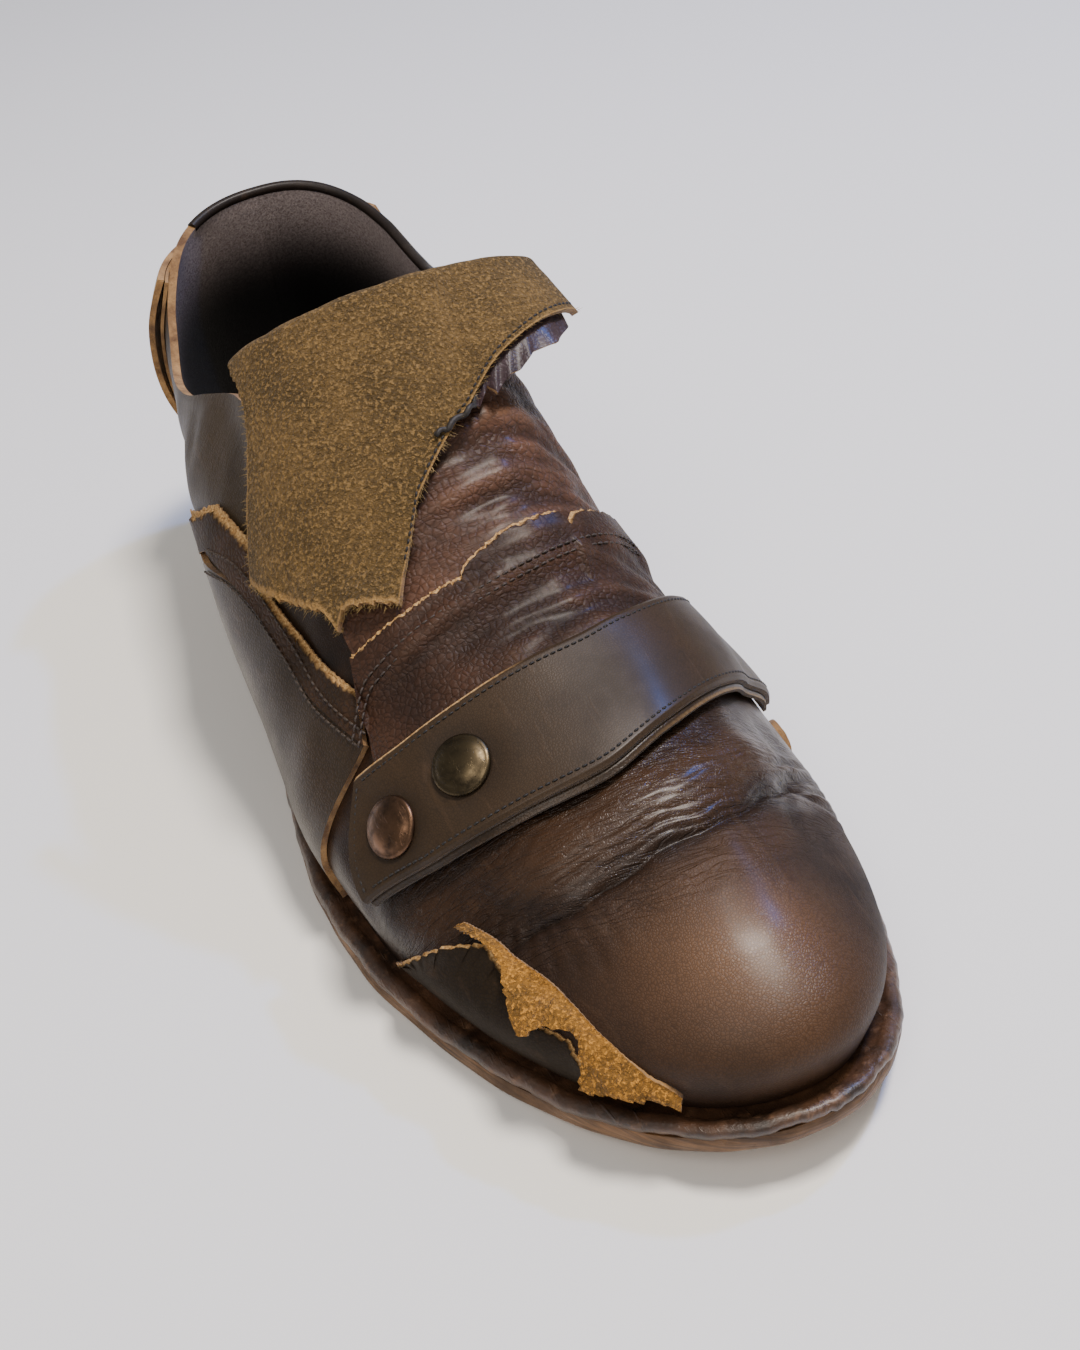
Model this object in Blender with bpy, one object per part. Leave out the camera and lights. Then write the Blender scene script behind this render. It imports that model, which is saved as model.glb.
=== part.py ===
"""A low leather slip-on shoe for the right foot, with a fold-over tongue and a belt strap.

The toe points to -Y, the outer (lateral) side of the foot is -X, and the floor is Z = 0.
Every piece of leather is read from one function, the last, so that all of them follow its shape.
"""
import math

import bpy
import bmesh
from mathutils import Vector

# Driving sizes, in metres
LENGTH = 0.297            # outsole, heel to toe
BALL_WIDTH = 0.118        # width that the outline's shares are taken from
INSTEP_HEIGHT = 0.086     # ridge above the welt, halfway along the foot
COLLAR_HEIGHT = 0.078     # collar above the welt, at the back
HEEL_LIFT = 0.018         # underside of the outsole above the floor, at the heel
TOE_SPRING = 0.011        # underside of the outsole above the floor, at the toe
OUTSOLE = 0.0045
WELT = 0.0035
MARGIN = 0.0065           # welt that shows beside the upper at the toe
SWELL = 0.0045            # how far the upper leans out over its own lower edge
HEEL_ROUND = 0.034        # length of the round at the heel
TOE_ROUND = 0.088         # length of the round at the toe
WALL = 0.0022             # leather and lining of the upper
INSOLE = 0.0025
OVERLAY = 0.0014          # one layer of leather sewn on
STRAP = 0.0017
STRAP_LINING = 0.0013
TONGUE = 0.0016
FLAP = 0.0018
SNAP_DIAMETER = 0.0135
SNAP_HEIGHT = 0.0024
RIVET_DIAMETER = 0.006
RIVET_HEIGHT = 0.0014
RAND = 0.0075             # how far the welt reaches in under the upper
HEEL_ARCH = 0.0035        # how far the heel band stands off the counter
LIFTS = 3                 # leather layers of the heel, above its rubber top piece
TOP_PIECE = 0.0055
GAP = 0.0003              # clearance between pieces that touch
SEAT = 0.0007             # the same between layers over the curved last, as their facets differ
FOLD_EASE = 0.0014        # air inside the fold of the tongue
FLAP_STAND = 0.013        # how far the flap's inner corner stands off
FLAP_LIES_TO = 0.70       # share along the fold, from the outer side, up to which the flap lies flat

# Superellipse powers of the heel's round and the toe's round, in plan
HEEL_SQUARE = 2.3
TOE_SQUARE = 2.15

# Rib counts g where the heel's round ends and the toe's round starts, and the same for p,
# which counts along the sole's edge
HEEL_PART = 0.16
TOE_PART = 0.74
HEEL_EDGE = 0.20
TOE_EDGE = 0.65

BREAST = 0.262            # station of the heel's front
BREAST_HOLLOW = 0.004     # depth of the hollow in the heel's front
ROUND_OFF = 0.28          # share of the welt's thickness that is rounded off its edges
SWELL_RISE = 1.6          # the swell is over where the rise is 1 / SWELL_RISE of the ridge

# station (share of LENGTH); lateral edge, medial edge, ridge (shares of BALL_WIDTH)
OUTLINE = (
    (0.00, -0.255, 0.285, 0.030),
    (0.10, -0.260, 0.285, 0.030),
    (0.20, -0.285, 0.275, 0.030),
    (0.30, -0.335, 0.270, 0.030),
    (0.40, -0.415, 0.280, 0.040),
    (0.50, -0.485, 0.335, 0.050),
    (0.60, -0.520, 0.415, 0.050),
    (0.68, -0.510, 0.450, 0.050),
    (0.78, -0.465, 0.448, 0.050),
    (0.90, -0.415, 0.435, 0.045),
    (1.00, -0.375, 0.425, 0.040),
)
LATERAL, MEDIAL, RIDGE = 1, 2, 3

# station (share of LENGTH); welt beside the upper, lateral and medial (shares of MARGIN)
MARGINS = (
    (0.00, 0.25, 0.25),
    (0.25, 0.25, 0.20),
    (0.42, 0.35, 0.15),
    (0.55, 0.80, 0.45),
    (0.70, 1.00, 1.00),
    (1.00, 1.00, 1.00),
)

# station (share of LENGTH); ridge above the welt (share of INSTEP_HEIGHT), roundness of the section
SECTIONS = (
    (0.00, 1.62, 3.00),
    (0.15, 1.60, 3.00),
    (0.28, 1.40, 2.80),
    (0.38, 1.20, 2.50),
    (0.48, 1.00, 2.30),
    (0.56, 0.80, 2.15),
    (0.64, 0.665, 2.10),
    (0.72, 0.575, 2.10),
    (0.80, 0.525, 2.10),
    (0.90, 0.490, 2.15),
    (1.00, 0.480, 2.20),
)
HEIGHT, ROUNDNESS = 1, 2

# station (share of LENGTH); collar above the welt, lateral and medial (shares of COLLAR_HEIGHT)
TOPLINE = (
    (0.00, 1.00, 1.00),
    (0.06, 0.92, 0.92),
    (0.11, 0.76, 0.88),
    (0.16, 0.67, 0.87),
    (0.22, 0.71, 0.89),
    (0.28, 0.80, 0.95),
    (0.35, 0.93, 1.04),
    (0.40, 1.00, 1.10),
)
OPEN_TO = 0.455           # station where the collar crosses the instep
OPEN_ROUND = 0.085        # stations over which the collar's front turns across

# rib g; how far the outer quarter leans out, in SWELLs
QUARTER_LEAN = (
    (0.00, 1.0),
    (0.09, 1.5),
    (0.16, 2.3),
    (0.33, 3.2),
    (0.42, 2.4),
    (0.55, 1.0),
    (1.00, 1.0),
)

# Where each piece of leather ends on the last, in ribs g and side shares u: g counts the ribs
# from 0 at the heel's back to 1 at the toe's tip, and u runs from -1 at the lateral welt over
# 0 at the ridge to 1 at the medial welt. Each row is a share along the piece, the g and u of
# its one edge, then the g and u of its other edge.
TONGUE_PIECE = (
    (0.00, 0.416, -0.500, 0.622, -0.455),
    (0.15, 0.434, -0.340, 0.628, -0.330),
    (0.30, 0.451, -0.200, 0.632, -0.220),
    (0.40, 0.459, -0.120, 0.631, -0.150),
    (0.43, 0.461, -0.090, 0.620, -0.130),
    (0.60, 0.460, 0.090, 0.610, 0.010),
    (0.72, 0.452, 0.210, 0.610, 0.190),
    (0.75, 0.450, 0.240, 0.613, 0.210),
    (0.86, 0.439, 0.350, 0.592, 0.410),
    (1.00, 0.424, 0.490, 0.559, 0.660),
)
FOLD_STEP = 0.0025        # g from the fold's line to the tongue's own edge
THROAT_PIECE = (
    (0.00, 0.648, -0.485, 0.712, -0.585),
    (0.03, 0.625, -0.455, 0.722, -0.560),
    (0.20, 0.633, -0.290, 0.735, -0.360),
    (0.40, 0.636, -0.150, 0.742, -0.180),
    (0.43, 0.629, -0.130, 0.742, -0.150),
    (0.55, 0.618, -0.030, 0.742, -0.040),
    (0.70, 0.618, 0.170, 0.735, 0.150),
    (0.74, 0.624, 0.205, 0.733, 0.200),
    (0.90, 0.591, 0.490, 0.702, 0.500),
    (1.00, 0.566, 0.670, 0.672, 0.700),
)
BAND_LATERAL = (
    (0.00, 0.380, -0.845, 0.384, -0.885),
    (0.10, 0.400, -0.795, 0.410, -0.850),
    (0.35, 0.482, -0.672, 0.490, -0.730),
    (0.50, 0.520, -0.632, 0.530, -0.690),
    (0.54, 0.524, -0.652, 0.540, -0.680),
    (0.75, 0.590, -0.565, 0.602, -0.628),
    (1.00, 0.643, -0.498, 0.672, -0.560),
)
FOXING_LATERAL = (
    (0.00, 0.384, -0.892, 0.384, -0.965),
    (0.10, 0.412, -0.857, 0.412, -0.965),
    (0.35, 0.493, -0.737, 0.493, -0.965),
    (0.54, 0.542, -0.690, 0.552, -0.965),
    (0.75, 0.606, -0.638, 0.620, -0.965),
    (1.00, 0.676, -0.570, 0.690, -0.965),
)
FOXING_MEDIAL = (
    (0.00, 0.300, 0.880, 0.300, 0.965),
    (0.06, 0.318, 0.835, 0.318, 0.965),
    (0.40, 0.430, 0.815, 0.430, 0.965),
    (0.70, 0.520, 0.800, 0.520, 0.965),
    (0.80, 0.550, 0.830, 0.550, 0.965),
    (1.00, 0.640, 0.860, 0.640, 0.965),
)
FLAP_PIECE = (
    (0.00, 0.416, -0.500, 0.500, -0.640),
    (0.15, 0.434, -0.340, 0.560, -0.525),
    (0.30, 0.451, -0.200, 0.603, -0.440),
    (0.33, 0.453, -0.174, 0.596, -0.410),
    (0.45, 0.461, -0.070, 0.616, -0.270),
    (0.60, 0.460, 0.090, 0.575, -0.155),
    (0.72, 0.452, 0.210, 0.545, -0.020),
    (0.86, 0.439, 0.350, 0.515, 0.190),
    (1.00, 0.424, 0.490, 0.466, 0.530),
)
STRAP_PIECE = (
    (0.00, 0.695, -0.600, 0.770, -0.760),
    (0.20, 0.712, -0.430, 0.795, -0.560),
    (0.40, 0.719, -0.240, 0.808, -0.330),
    (0.55, 0.720, -0.040, 0.812, -0.120),
    (0.70, 0.711, 0.150, 0.797, 0.100),
    (0.85, 0.680, 0.450, 0.772, 0.420),
    (1.00, 0.618, 0.800, 0.722, 0.830),
)
TOE_PATCH = (
    (0.00, 0.807, -0.890, 0.812, -0.940),
    (0.25, 0.840, -0.700, 0.850, -0.940),
    (0.35, 0.862, -0.620, 0.880, -0.940),
    (0.60, 0.915, -0.700, 0.925, -0.940),
    (0.80, 0.960, -0.700, 0.965, -0.940),
    (1.00, 0.985, -0.780, 0.985, -0.930),
)
TORN_STRIP = (
    (0.00, 0.833, -0.610, 0.836, -0.640),
    (0.25, 0.866, -0.575, 0.868, -0.612),
    (0.45, 0.900, -0.520, 0.919, -0.685),
    (0.65, 0.925, -0.480, 0.942, -0.575),
    (0.80, 0.955, -0.490, 0.964, -0.680),
    (1.00, 0.988, -0.500, 0.990, -0.600),
)
HEEL_BAND_REACH = (-0.115, 0.135)     # g, medial and lateral of the heel's back
HEEL_BAND_HEIGHT = (-0.960, -0.775)   # u, lower and upper edge

# name, g and u of its middle
SNAPS = (("snap_low", 0.751, -0.590), ("snap_high", 0.760, -0.360))
# name, g and u of its middle, corners
RIVET_TABS = (
    ("rear", 0.588, 0.772, 5),
    ("front", 0.752, 0.865, 12),
)
TAB_RADIUS = 0.0058
HALF_GIRTH = 0.9 * BALL_WIDTH         # from the welt over to the ridge, at the ball

# Colours (linear), roughness, metallic
LEATHER_BROWN = ((0.045, 0.026, 0.017), 0.45, 0.0)
LEATHER_DARK = ((0.030, 0.022, 0.016), 0.40, 0.0)
LEATHER_EDGE = ((0.110, 0.060, 0.032), 0.60, 0.0)
LEATHER_SOLE = ((0.160, 0.085, 0.040), 0.65, 0.0)
SUEDE = ((0.170, 0.110, 0.048), 0.95, 0.0)
RAW_LEATHER = ((0.420, 0.210, 0.070), 0.95, 0.0)
LINING = ((0.055, 0.040, 0.034), 0.90, 0.0)
RUBBER = ((0.012, 0.011, 0.010), 0.75, 0.0)
OLD_BRASS = ((0.210, 0.120, 0.060), 0.42, 1.0)


def clear_scene():
    for thing in list(bpy.data.objects):
        bpy.data.objects.remove(thing, do_unlink=True)


def curve(table, column, at):
    """Smooth curve through one column of a table, without overshoot."""
    rows = len(table)
    at = min(max(at, table[0][0]), table[-1][0])
    here = 0
    while here < rows - 2 and at > table[here + 1][0]:
        here += 1

    def slope(i):
        return (table[i + 1][column] - table[i][column]) / (table[i + 1][0] - table[i][0])

    def tangent(i):
        if i == 0:
            return slope(0)
        if i == rows - 1:
            return slope(rows - 2)
        before = slope(i - 1)
        after = slope(i)
        if before * after <= 0.0:
            return 0.0
        return 2.0 * before * after / (before + after)

    width = table[here + 1][0] - table[here][0]
    k = (at - table[here][0]) / width
    low = table[here][column] * (1 + 2 * k) * (1 - k) ** 2 + tangent(here) * width * k * (1 - k) ** 2
    high = table[here + 1][column] * k * k * (3 - 2 * k) + tangent(here + 1) * width * k * k * (k - 1)
    return low + high


def straight(table, column, at):
    """Broken line through one column of a table, for torn edges."""
    at = min(max(at, table[0][0]), table[-1][0])
    for first, second in zip(table, table[1:]):
        if at <= second[0]:
            k = (at - first[0]) / (second[0] - first[0])
            return first[column] + k * (second[column] - first[column])
    return table[-1][column]


def ease(start, end, at):
    k = min(max((at - start) / (end - start), 0.0), 1.0)
    return k * k * (3 - 2 * k)


# The last

def tread_z(t):
    """Underside of the outsole at a distance t from the heel's back."""
    station = t / LENGTH
    arch = HEEL_LIFT * (1 - ease(0.27, 0.56, station))
    toe = max(station - 0.80, 0.0) / 0.20
    return arch + TOE_SPRING * toe * toe


def feather_z(t):
    """Top of the welt, where the upper starts."""
    return tread_z(t) + OUTSOLE + WELT


def side_x(t, side, inset):
    """Plan edge on one side, before the rounds of heel and toe; inset 1 is the upper's edge."""
    station = t / LENGTH
    column = LATERAL if side < 0 else MEDIAL
    edge = curve(OUTLINE, column, station) * BALL_WIDTH
    return edge - side * curve(MARGINS, column, station) * MARGIN * inset


def ridge_x(t):
    return curve(OUTLINE, RIDGE, t / LENGTH) * BALL_WIDTH


def ends(inset):
    """Distances from the heel's back of the rear and front ends; inset 1 is the upper's."""
    return MARGIN * MARGINS[0][LATERAL] * inset, LENGTH - MARGIN * inset


TOE_START = ends(1.0)[1] - TOE_ROUND


def place(zone, across, along, side, inset, swell, deeper=0.0):
    """Plan point from unit coordinates in the heel's round, the middle or the toe's round."""
    back, front = ends(inset)
    back += deeper
    front -= deeper
    if zone == "heel":
        t = HEEL_ROUND - (HEEL_ROUND - back + swell) * along
    elif zone == "toe":
        t = TOE_START + (front - TOE_START + swell) * along
    else:
        t = along
    centre = ridge_x(t)
    edge = side_x(t, side, inset) - side * deeper
    return centre + (edge - centre + side * swell) * across, t


def round_end(angle, power):
    """Point of a unit superellipse, across and along."""
    across = abs(math.sin(angle))
    along = abs(math.cos(angle))
    size = (across ** power + along ** power) ** (1 / power)
    return across / size, along / size


def last(g, u):
    """Point of the last: ribs g from heel back to toe tip, u from lateral welt to medial welt."""
    if g < 0:
        g = -g
        u = -u
    side = -1 if u < 0 else 1
    angle = (1 - abs(u)) * math.pi / 2
    if g < HEEL_PART:
        zone = "heel"
        guess = HEEL_ROUND
    elif g <= TOE_PART:
        zone = "middle"
        guess = HEEL_ROUND + (TOE_START - HEEL_ROUND) * (g - HEEL_PART) / (TOE_PART - HEEL_PART)
    else:
        zone = "toe"
        guess = TOE_START + TOE_ROUND * (g - TOE_PART) / (1 - TOE_PART)
    power = curve(SECTIONS, ROUNDNESS, guess / LENGTH)
    radius = math.cos(angle) ** (2 / power)
    if zone == "heel":
        across, along = round_end(g / HEEL_PART * math.pi / 2, HEEL_SQUARE)
        across *= radius
        along *= radius
    elif zone == "middle":
        across = radius
        along = guess
    else:
        ahead = min((g - TOE_PART) / (1 - TOE_PART), 1.0)
        across = radius * math.sqrt(1 - ahead * ahead / 2)
        along = ahead * math.sqrt(1 - radius * radius / 2)
        radius = min(math.hypot(across, along), 1.0)
        if radius > 0:
            size = (across ** TOE_SQUARE + along ** TOE_SQUARE) ** (1 / TOE_SQUARE)
            across *= radius / size
            along *= radius / size
    rise = max(1 - radius ** power, 0.0) ** (1 / power)
    lean = curve(QUARTER_LEAN, 1, g) if side < 0 else 1.0
    swell = SWELL * lean * math.sin(math.pi * min(rise * SWELL_RISE, 1.0))
    x, t = place(zone, across, along, side, 1.0, swell)
    z = feather_z(t) + curve(SECTIONS, HEIGHT, t / LENGTH) * INSTEP_HEIGHT * rise
    return Vector((x, LENGTH / 2 - t, z))


def rib(station):
    """Rib count g of a station on the ridge, between the two rounds."""
    ahead = (station * LENGTH - HEEL_ROUND) / (TOE_START - HEEL_ROUND)
    return HEEL_PART + ahead * (TOE_PART - HEEL_PART)


def normal(g, u):
    """Outward direction of the last."""
    step_g = 0.003
    step_u = 0.012
    g = min(g, 1 - 2 * step_g)
    u = min(max(u, -1 + step_u), 1 - step_u)
    along = last(g + step_g, u) - last(g - step_g, u)
    around = last(g, u + step_u) - last(g, u - step_u)
    return along.cross(around).normalized()


def skin(g, u, lift):
    """Point over the last, lifted off the upper's outer face."""
    return last(g, u) + normal(g, u) * lift


def topline_u(g, side):
    """Side share of the collar's edge on a rib behind OPEN_TO."""
    # the station is read three quarters of the way down, near the collar
    t = LENGTH / 2 - last(g, side * 0.75).y
    both = [curve(TOPLINE, column, t / LENGTH) * COLLAR_HEIGHT for column in (LATERAL, MEDIAL)]
    own = both[0] if side < 0 else both[1]
    middle = (both[0] + both[1]) / 2
    height = middle + (own - middle) * min(g / HEEL_PART, 1.0)
    crest = curve(SECTIONS, HEIGHT, t / LENGTH) * INSTEP_HEIGHT
    power = curve(SECTIONS, ROUNDNESS, max(t, HEEL_ROUND) / LENGTH)
    angle = math.asin(min(height / crest, 1.0) ** (power / 2))
    edge = 1 - angle / (math.pi / 2)
    front = rib(OPEN_TO)
    closing = (front - g) / (front - rib(OPEN_TO - OPEN_ROUND))
    if closing < 1:
        edge *= math.sqrt(max(1 - (1 - closing) ** 2, 0.0))
    return side * edge


# Making meshes

def material(name, finish):
    colour, roughness, metallic = finish
    made = bpy.data.materials.new(name)
    made.use_nodes = True
    shader = made.node_tree.nodes["Principled BSDF"]
    shader.inputs["Base Color"].default_value = (*colour, 1.0)
    shader.inputs["Roughness"].default_value = roughness
    shader.inputs["Metallic"].default_value = metallic
    made.diffuse_color = (*colour, 1.0)
    return made


def solid(name, points, faces, finish, sharp=35.0):
    """One closed mesh object from points and faces, its seams merged."""
    mesh = bpy.data.meshes.new(name)
    work = bmesh.new()
    corners = [work.verts.new(point) for point in points]
    for face in faces:
        if len(set(face)) > 2:
            work.faces.new([corners[i] for i in face])
    bmesh.ops.remove_doubles(work, verts=work.verts, dist=0.00001)
    bmesh.ops.dissolve_degenerate(work, edges=work.edges, dist=0.00001)
    bmesh.ops.recalc_face_normals(work, faces=work.faces)
    work.to_mesh(mesh)
    work.free()
    mesh.shade_smooth()
    mesh.set_sharp_from_angle(angle=math.radians(sharp))
    made = bpy.data.objects.new(name, mesh)
    made.data.materials.append(material(name, finish))
    bpy.context.scene.collection.objects.link(made)
    return made


def sheet(name, outer, inner, finish):
    """A sheet of leather between two grids of the same size."""
    rows = len(outer)
    columns = len(outer[0])
    points = [point for row in outer for point in row]
    under = len(points)
    points += [point for row in inner for point in row]
    faces = []
    for i in range(rows - 1):
        for j in range(columns - 1):
            quad = (i * columns + j, i * columns + j + 1, (i + 1) * columns + j + 1, (i + 1) * columns + j)
            faces.append(quad)
            faces.append(tuple(under + k for k in reversed(quad)))
    border = [j for j in range(columns)]
    border += [i * columns + columns - 1 for i in range(1, rows)]
    border += [(rows - 1) * columns + j for j in range(columns - 2, -1, -1)]
    border += [i * columns for i in range(rows - 2, 0, -1)]
    for k, here in enumerate(border):
        after = border[(k + 1) % len(border)]
        faces.append((after, here, under + here, under + after))
    return solid(name, points, faces, finish)


def tube_ring(name, loops, finish):
    """A closed ring from loops of points, each joined to the next and the last to the first."""
    count = len(loops[0])
    points = [point for loop in loops for point in loop]
    faces = []
    for i in range(len(loops)):
        onward = (i + 1) % len(loops)
        for j in range(count):
            after = (j + 1) % count
            faces.append((i * count + j, i * count + after, onward * count + after, onward * count + j))
    return solid(name, points, faces, finish)


def lattice(table, columns, rows):
    """Rows of (g, u) between the two edges of a piece, with a column at each row of its table."""
    shares = sorted(set(spread(columns) + [row[0] for row in table]))
    kept = [shares[0]]
    for share in shares[1:]:
        if share - kept[-1] > 0.35 / columns or any(abs(share - row[0]) < 1e-9 for row in table):
            kept.append(share)
    grid = []
    for k in spread(rows):
        row = []
        for share in kept:
            g = straight(table, 1, share) * (1 - k) + straight(table, 3, share) * k
            u = straight(table, 2, share) * (1 - k) + straight(table, 4, share) * k
            row.append((g, u))
        grid.append(row)
    return grid


def patch(name, grid, low, high, finish):
    """A sheet over the last; the grid gives rows of (g, u), low and high are lifts."""
    outer = [[skin(g, u, high) for g, u in row] for row in grid]
    inner = [[skin(g, u, low) for g, u in row] for row in grid]
    return sheet(name, outer, inner, finish)


def spread(count, start=0.0, end=1.0):
    return [start + (end - start) * i / (count - 1) for i in range(count)]


# Sole

def rim_point(p, side, inset, z, deeper=0.0):
    """Point of the sole's edge: p runs from the heel's back (0) to the toe's tip (1)."""
    if p < HEEL_EDGE:
        across, along = round_end(p / HEEL_EDGE * math.pi / 2, HEEL_SQUARE)
        x, t = place("heel", across, along, side, inset, 0.0, deeper)
    elif p < TOE_EDGE:
        t = HEEL_ROUND + (TOE_START - HEEL_ROUND) * (p - HEEL_EDGE) / (TOE_EDGE - HEEL_EDGE)
        x, t = place("middle", 1.0, t, side, inset, 0.0, deeper)
    else:
        along, across = round_end((p - TOE_EDGE) / (1 - TOE_EDGE) * math.pi / 2, TOE_SQUARE)
        x, t = place("toe", across, along, side, inset, 0.0, deeper)
    return Vector((x, LENGTH / 2 - t, z(t)))


def sole_plate(name, low, high, inset, deeper, finish, rows=44, columns=5):
    """A plate with the sole's outline and two surfaces that are functions of t."""
    shares = spread(rows)
    grids = []
    for z in (high, low):
        grid = []
        for p in shares:
            left = rim_point(p, -1, inset, z, deeper)
            right = rim_point(p, 1, inset, z, deeper)
            grid.append([left.lerp(right, k) for k in spread(columns)])
        grids.append(grid)
    return sheet(name, grids[0], grids[1], finish)


def outsole():
    return sole_plate("outsole", tread_z, lambda t: tread_z(t) + OUTSOLE - GAP, 0.0, 0.0, LEATHER_SOLE)


def insole():
    return sole_plate(
        "insole",
        lambda t: feather_z(t) + GAP,
        lambda t: feather_z(t) + GAP + INSOLE,
        1.0,
        WALL + 2 * SEAT,
        LINING,
    )


def welt():
    """A ring of leather between outsole and upper, its outer edge rounded."""
    loops = []
    steps = 40
    ring = [(-1, p) for p in spread(steps)] + [(1, p) for p in spread(steps)[-2:0:-1]]
    round_off = WELT * ROUND_OFF
    for side, p in ring:
        def at(inset, deeper, rise):
            return rim_point(p, side, inset, lambda t: tread_z(t) + OUTSOLE + rise, deeper)

        loops.append((
            at(0.0, round_off, 0.0),
            at(0.0, 0.0, round_off),
            at(0.0, 0.0, WELT - round_off),
            at(0.0, round_off, WELT),
            at(1.0, RAND, WELT),
            at(1.0, RAND, 0.0),
        ))
    return tube_ring("welt", loops, LEATHER_EDGE)


def heel_piece(name, low, high, draw_in, finish):
    """One layer of the heel, with the sole's outline behind the breast."""
    outline = []
    ahead = (BREAST * LENGTH - HEEL_ROUND) / (TOE_START - HEEL_ROUND)
    breast = HEEL_EDGE + ahead * (TOE_EDGE - HEEL_EDGE)
    for side, shares in ((-1, spread(13, breast, 0.0)), (1, spread(13, 0.0, breast)[1:])):
        for p in shares:
            outline.append(rim_point(p, side, 0.0, lambda t: low, draw_in))
    # the breast is hollowed a little between its two corners
    right = outline[-1]
    left = outline[0]
    for k in (0.75, 0.5, 0.25):
        hollow = BREAST_HOLLOW * 4 * k * (1 - k)
        outline.append(left.lerp(right, k) + Vector((0.0, hollow, 0.0)))
    count = len(outline)
    points = outline + [Vector((point.x, point.y, high)) for point in outline]
    faces = [tuple(range(count)), tuple(range(2 * count - 1, count - 1, -1))]
    for i in range(count):
        after = (i + 1) % count
        faces.append((i, after, count + after, count + i))
    return solid(name, points, faces, finish)


def heel():
    """Rubber top piece on the floor, then layers of leather up to the outsole."""
    heel_piece("heel_top_piece", 0.0, TOP_PIECE, 0.0010, RUBBER)
    layer = (HEEL_LIFT - TOP_PIECE) / LIFTS
    for i in range(LIFTS):
        low = TOP_PIECE + i * layer + GAP
        high = TOP_PIECE + (i + 1) * layer - (GAP if i == LIFTS - 1 else 0.0)
        heel_piece("heel_lift_%d" % (i + 1), low, high, 0.0008 - 0.0003 * i, LEATHER_SOLE)


# Upper

def upper():
    """One hollow shell, open at the collar and underneath."""
    across = 10
    front = rib(OPEN_TO)
    ribs = spread(8, 0.0, HEEL_PART)[:-1] + spread(9, HEEL_PART, front)[:-1]
    ribs += spread(14, front, TOE_PART)[:-1] + spread(10, TOE_PART, 1.0)
    points = []
    faces = []
    rows = len(ribs)
    columns = across + 1

    def number(face, side, i, k):
        return ((face * 2 + side) * rows + i) * columns + k

    for face in (0, 1):
        for side in (-1, 1):
            for g in ribs:
                edge = topline_u(g, side) if g < front - 1e-6 else 0.0
                for k in range(columns):
                    u = side + (edge - side) * k / across
                    point = skin(g, u, -WALL * face)
                    low = feather_z(LENGTH / 2 - point.y) + GAP
                    point.z = max(point.z, low) if k else low
                    points.append(point)
    for side in (0, 1):
        for i in range(rows - 1):
            for k in range(across):
                for face in (0, 1):
                    faces.append((
                        number(face, side, i, k),
                        number(face, side, i, k + 1),
                        number(face, side, i + 1, k + 1),
                        number(face, side, i + 1, k),
                    ))
            # lower edge, and the collar's edge where the rib is open
            faces.append((
                number(0, side, i, 0),
                number(0, side, i + 1, 0),
                number(1, side, i + 1, 0),
                number(1, side, i, 0),
            ))
            if ribs[i] < front - 1e-6:
                faces.append((
                    number(0, side, i, across),
                    number(0, side, i + 1, across),
                    number(1, side, i + 1, across),
                    number(1, side, i, across),
                ))
        # lower edge across the toe's front
        for k in range(across):
            faces.append((
                number(0, side, rows - 1, k),
                number(0, side, rows - 1, k + 1),
                number(1, side, rows - 1, k + 1),
                number(1, side, rows - 1, k),
            ))
    return solid("upper", points, faces, LEATHER_BROWN, 50.0)


OVER_UPPER = SEAT
OVER_OVERLAY = OVER_UPPER + OVERLAY + SEAT
OVER_LINING = OVER_OVERLAY + STRAP_LINING + SEAT
OVER_STRAP = OVER_LINING + STRAP


def tongue():
    """The wide instep piece, from its fold down to the throat."""
    grid = lattice(TONGUE_PIECE, 12, 10)
    grid[0] = [(g + FOLD_STEP, u) for g, u in grid[0]]
    patch("tongue", grid, OVER_UPPER, OVER_UPPER + TONGUE, LEATHER_BROWN)


def tongue_flap():
    """The tongue's end, folded over outwards so that its suede side shows, and hanging down."""
    front = lattice(FLAP_PIECE, 14, 9)
    bend = 4
    inside = FOLD_EASE / 2
    middle = OVER_UPPER + TONGUE + inside
    off = [FLAP_STAND * ease(FLAP_LIES_TO, 1.0, k) for k in spread(len(front[0]))]
    outer = []
    inner = []
    for i in range(bend):
        turn = math.pi * i / bend
        for grid, radius in ((outer, inside + FLAP), (inner, inside)):
            row = []
            for (g, u), stand in zip(front[0], off):
                back = (last(g - 0.01, u) - last(g + 0.01, u)).normalized()
                lift = middle - radius * math.cos(turn) + stand * i / bend
                row.append(skin(g, u, lift) + back * radius * math.sin(turn))
            grid.append(row)
    for line in front:
        inner.append([skin(g, u, middle + inside + stand) for (g, u), stand in zip(line, off)])
        outer.append([skin(g, u, middle + inside + FLAP + stand) for (g, u), stand in zip(line, off)])
    sheet("tongue_flap", outer, inner, SUEDE)


def overlays():
    """The layers sewn over the upper: throat, torn side bands, foxing and toe patch."""
    high = OVER_UPPER + OVERLAY
    patch("throat_overlay", lattice(THROAT_PIECE, 14, 5), OVER_UPPER, high, LEATHER_BROWN)
    patch("side_band_lateral", lattice(BAND_LATERAL, 12, 3), OVER_UPPER, high, LEATHER_DARK)
    patch("foxing_lateral", lattice(FOXING_LATERAL, 12, 5), OVER_UPPER, high * 1.2, LEATHER_DARK)
    patch("foxing_medial", lattice(FOXING_MEDIAL, 12, 4), OVER_UPPER, high, LEATHER_DARK)
    patch("toe_patch", lattice(TOE_PATCH, 12, 5), OVER_UPPER, high, LEATHER_DARK)
    patch("torn_strip", lattice(TORN_STRIP, 12, 3), OVER_UPPER, high * 1.5, RAW_LEATHER)


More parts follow.
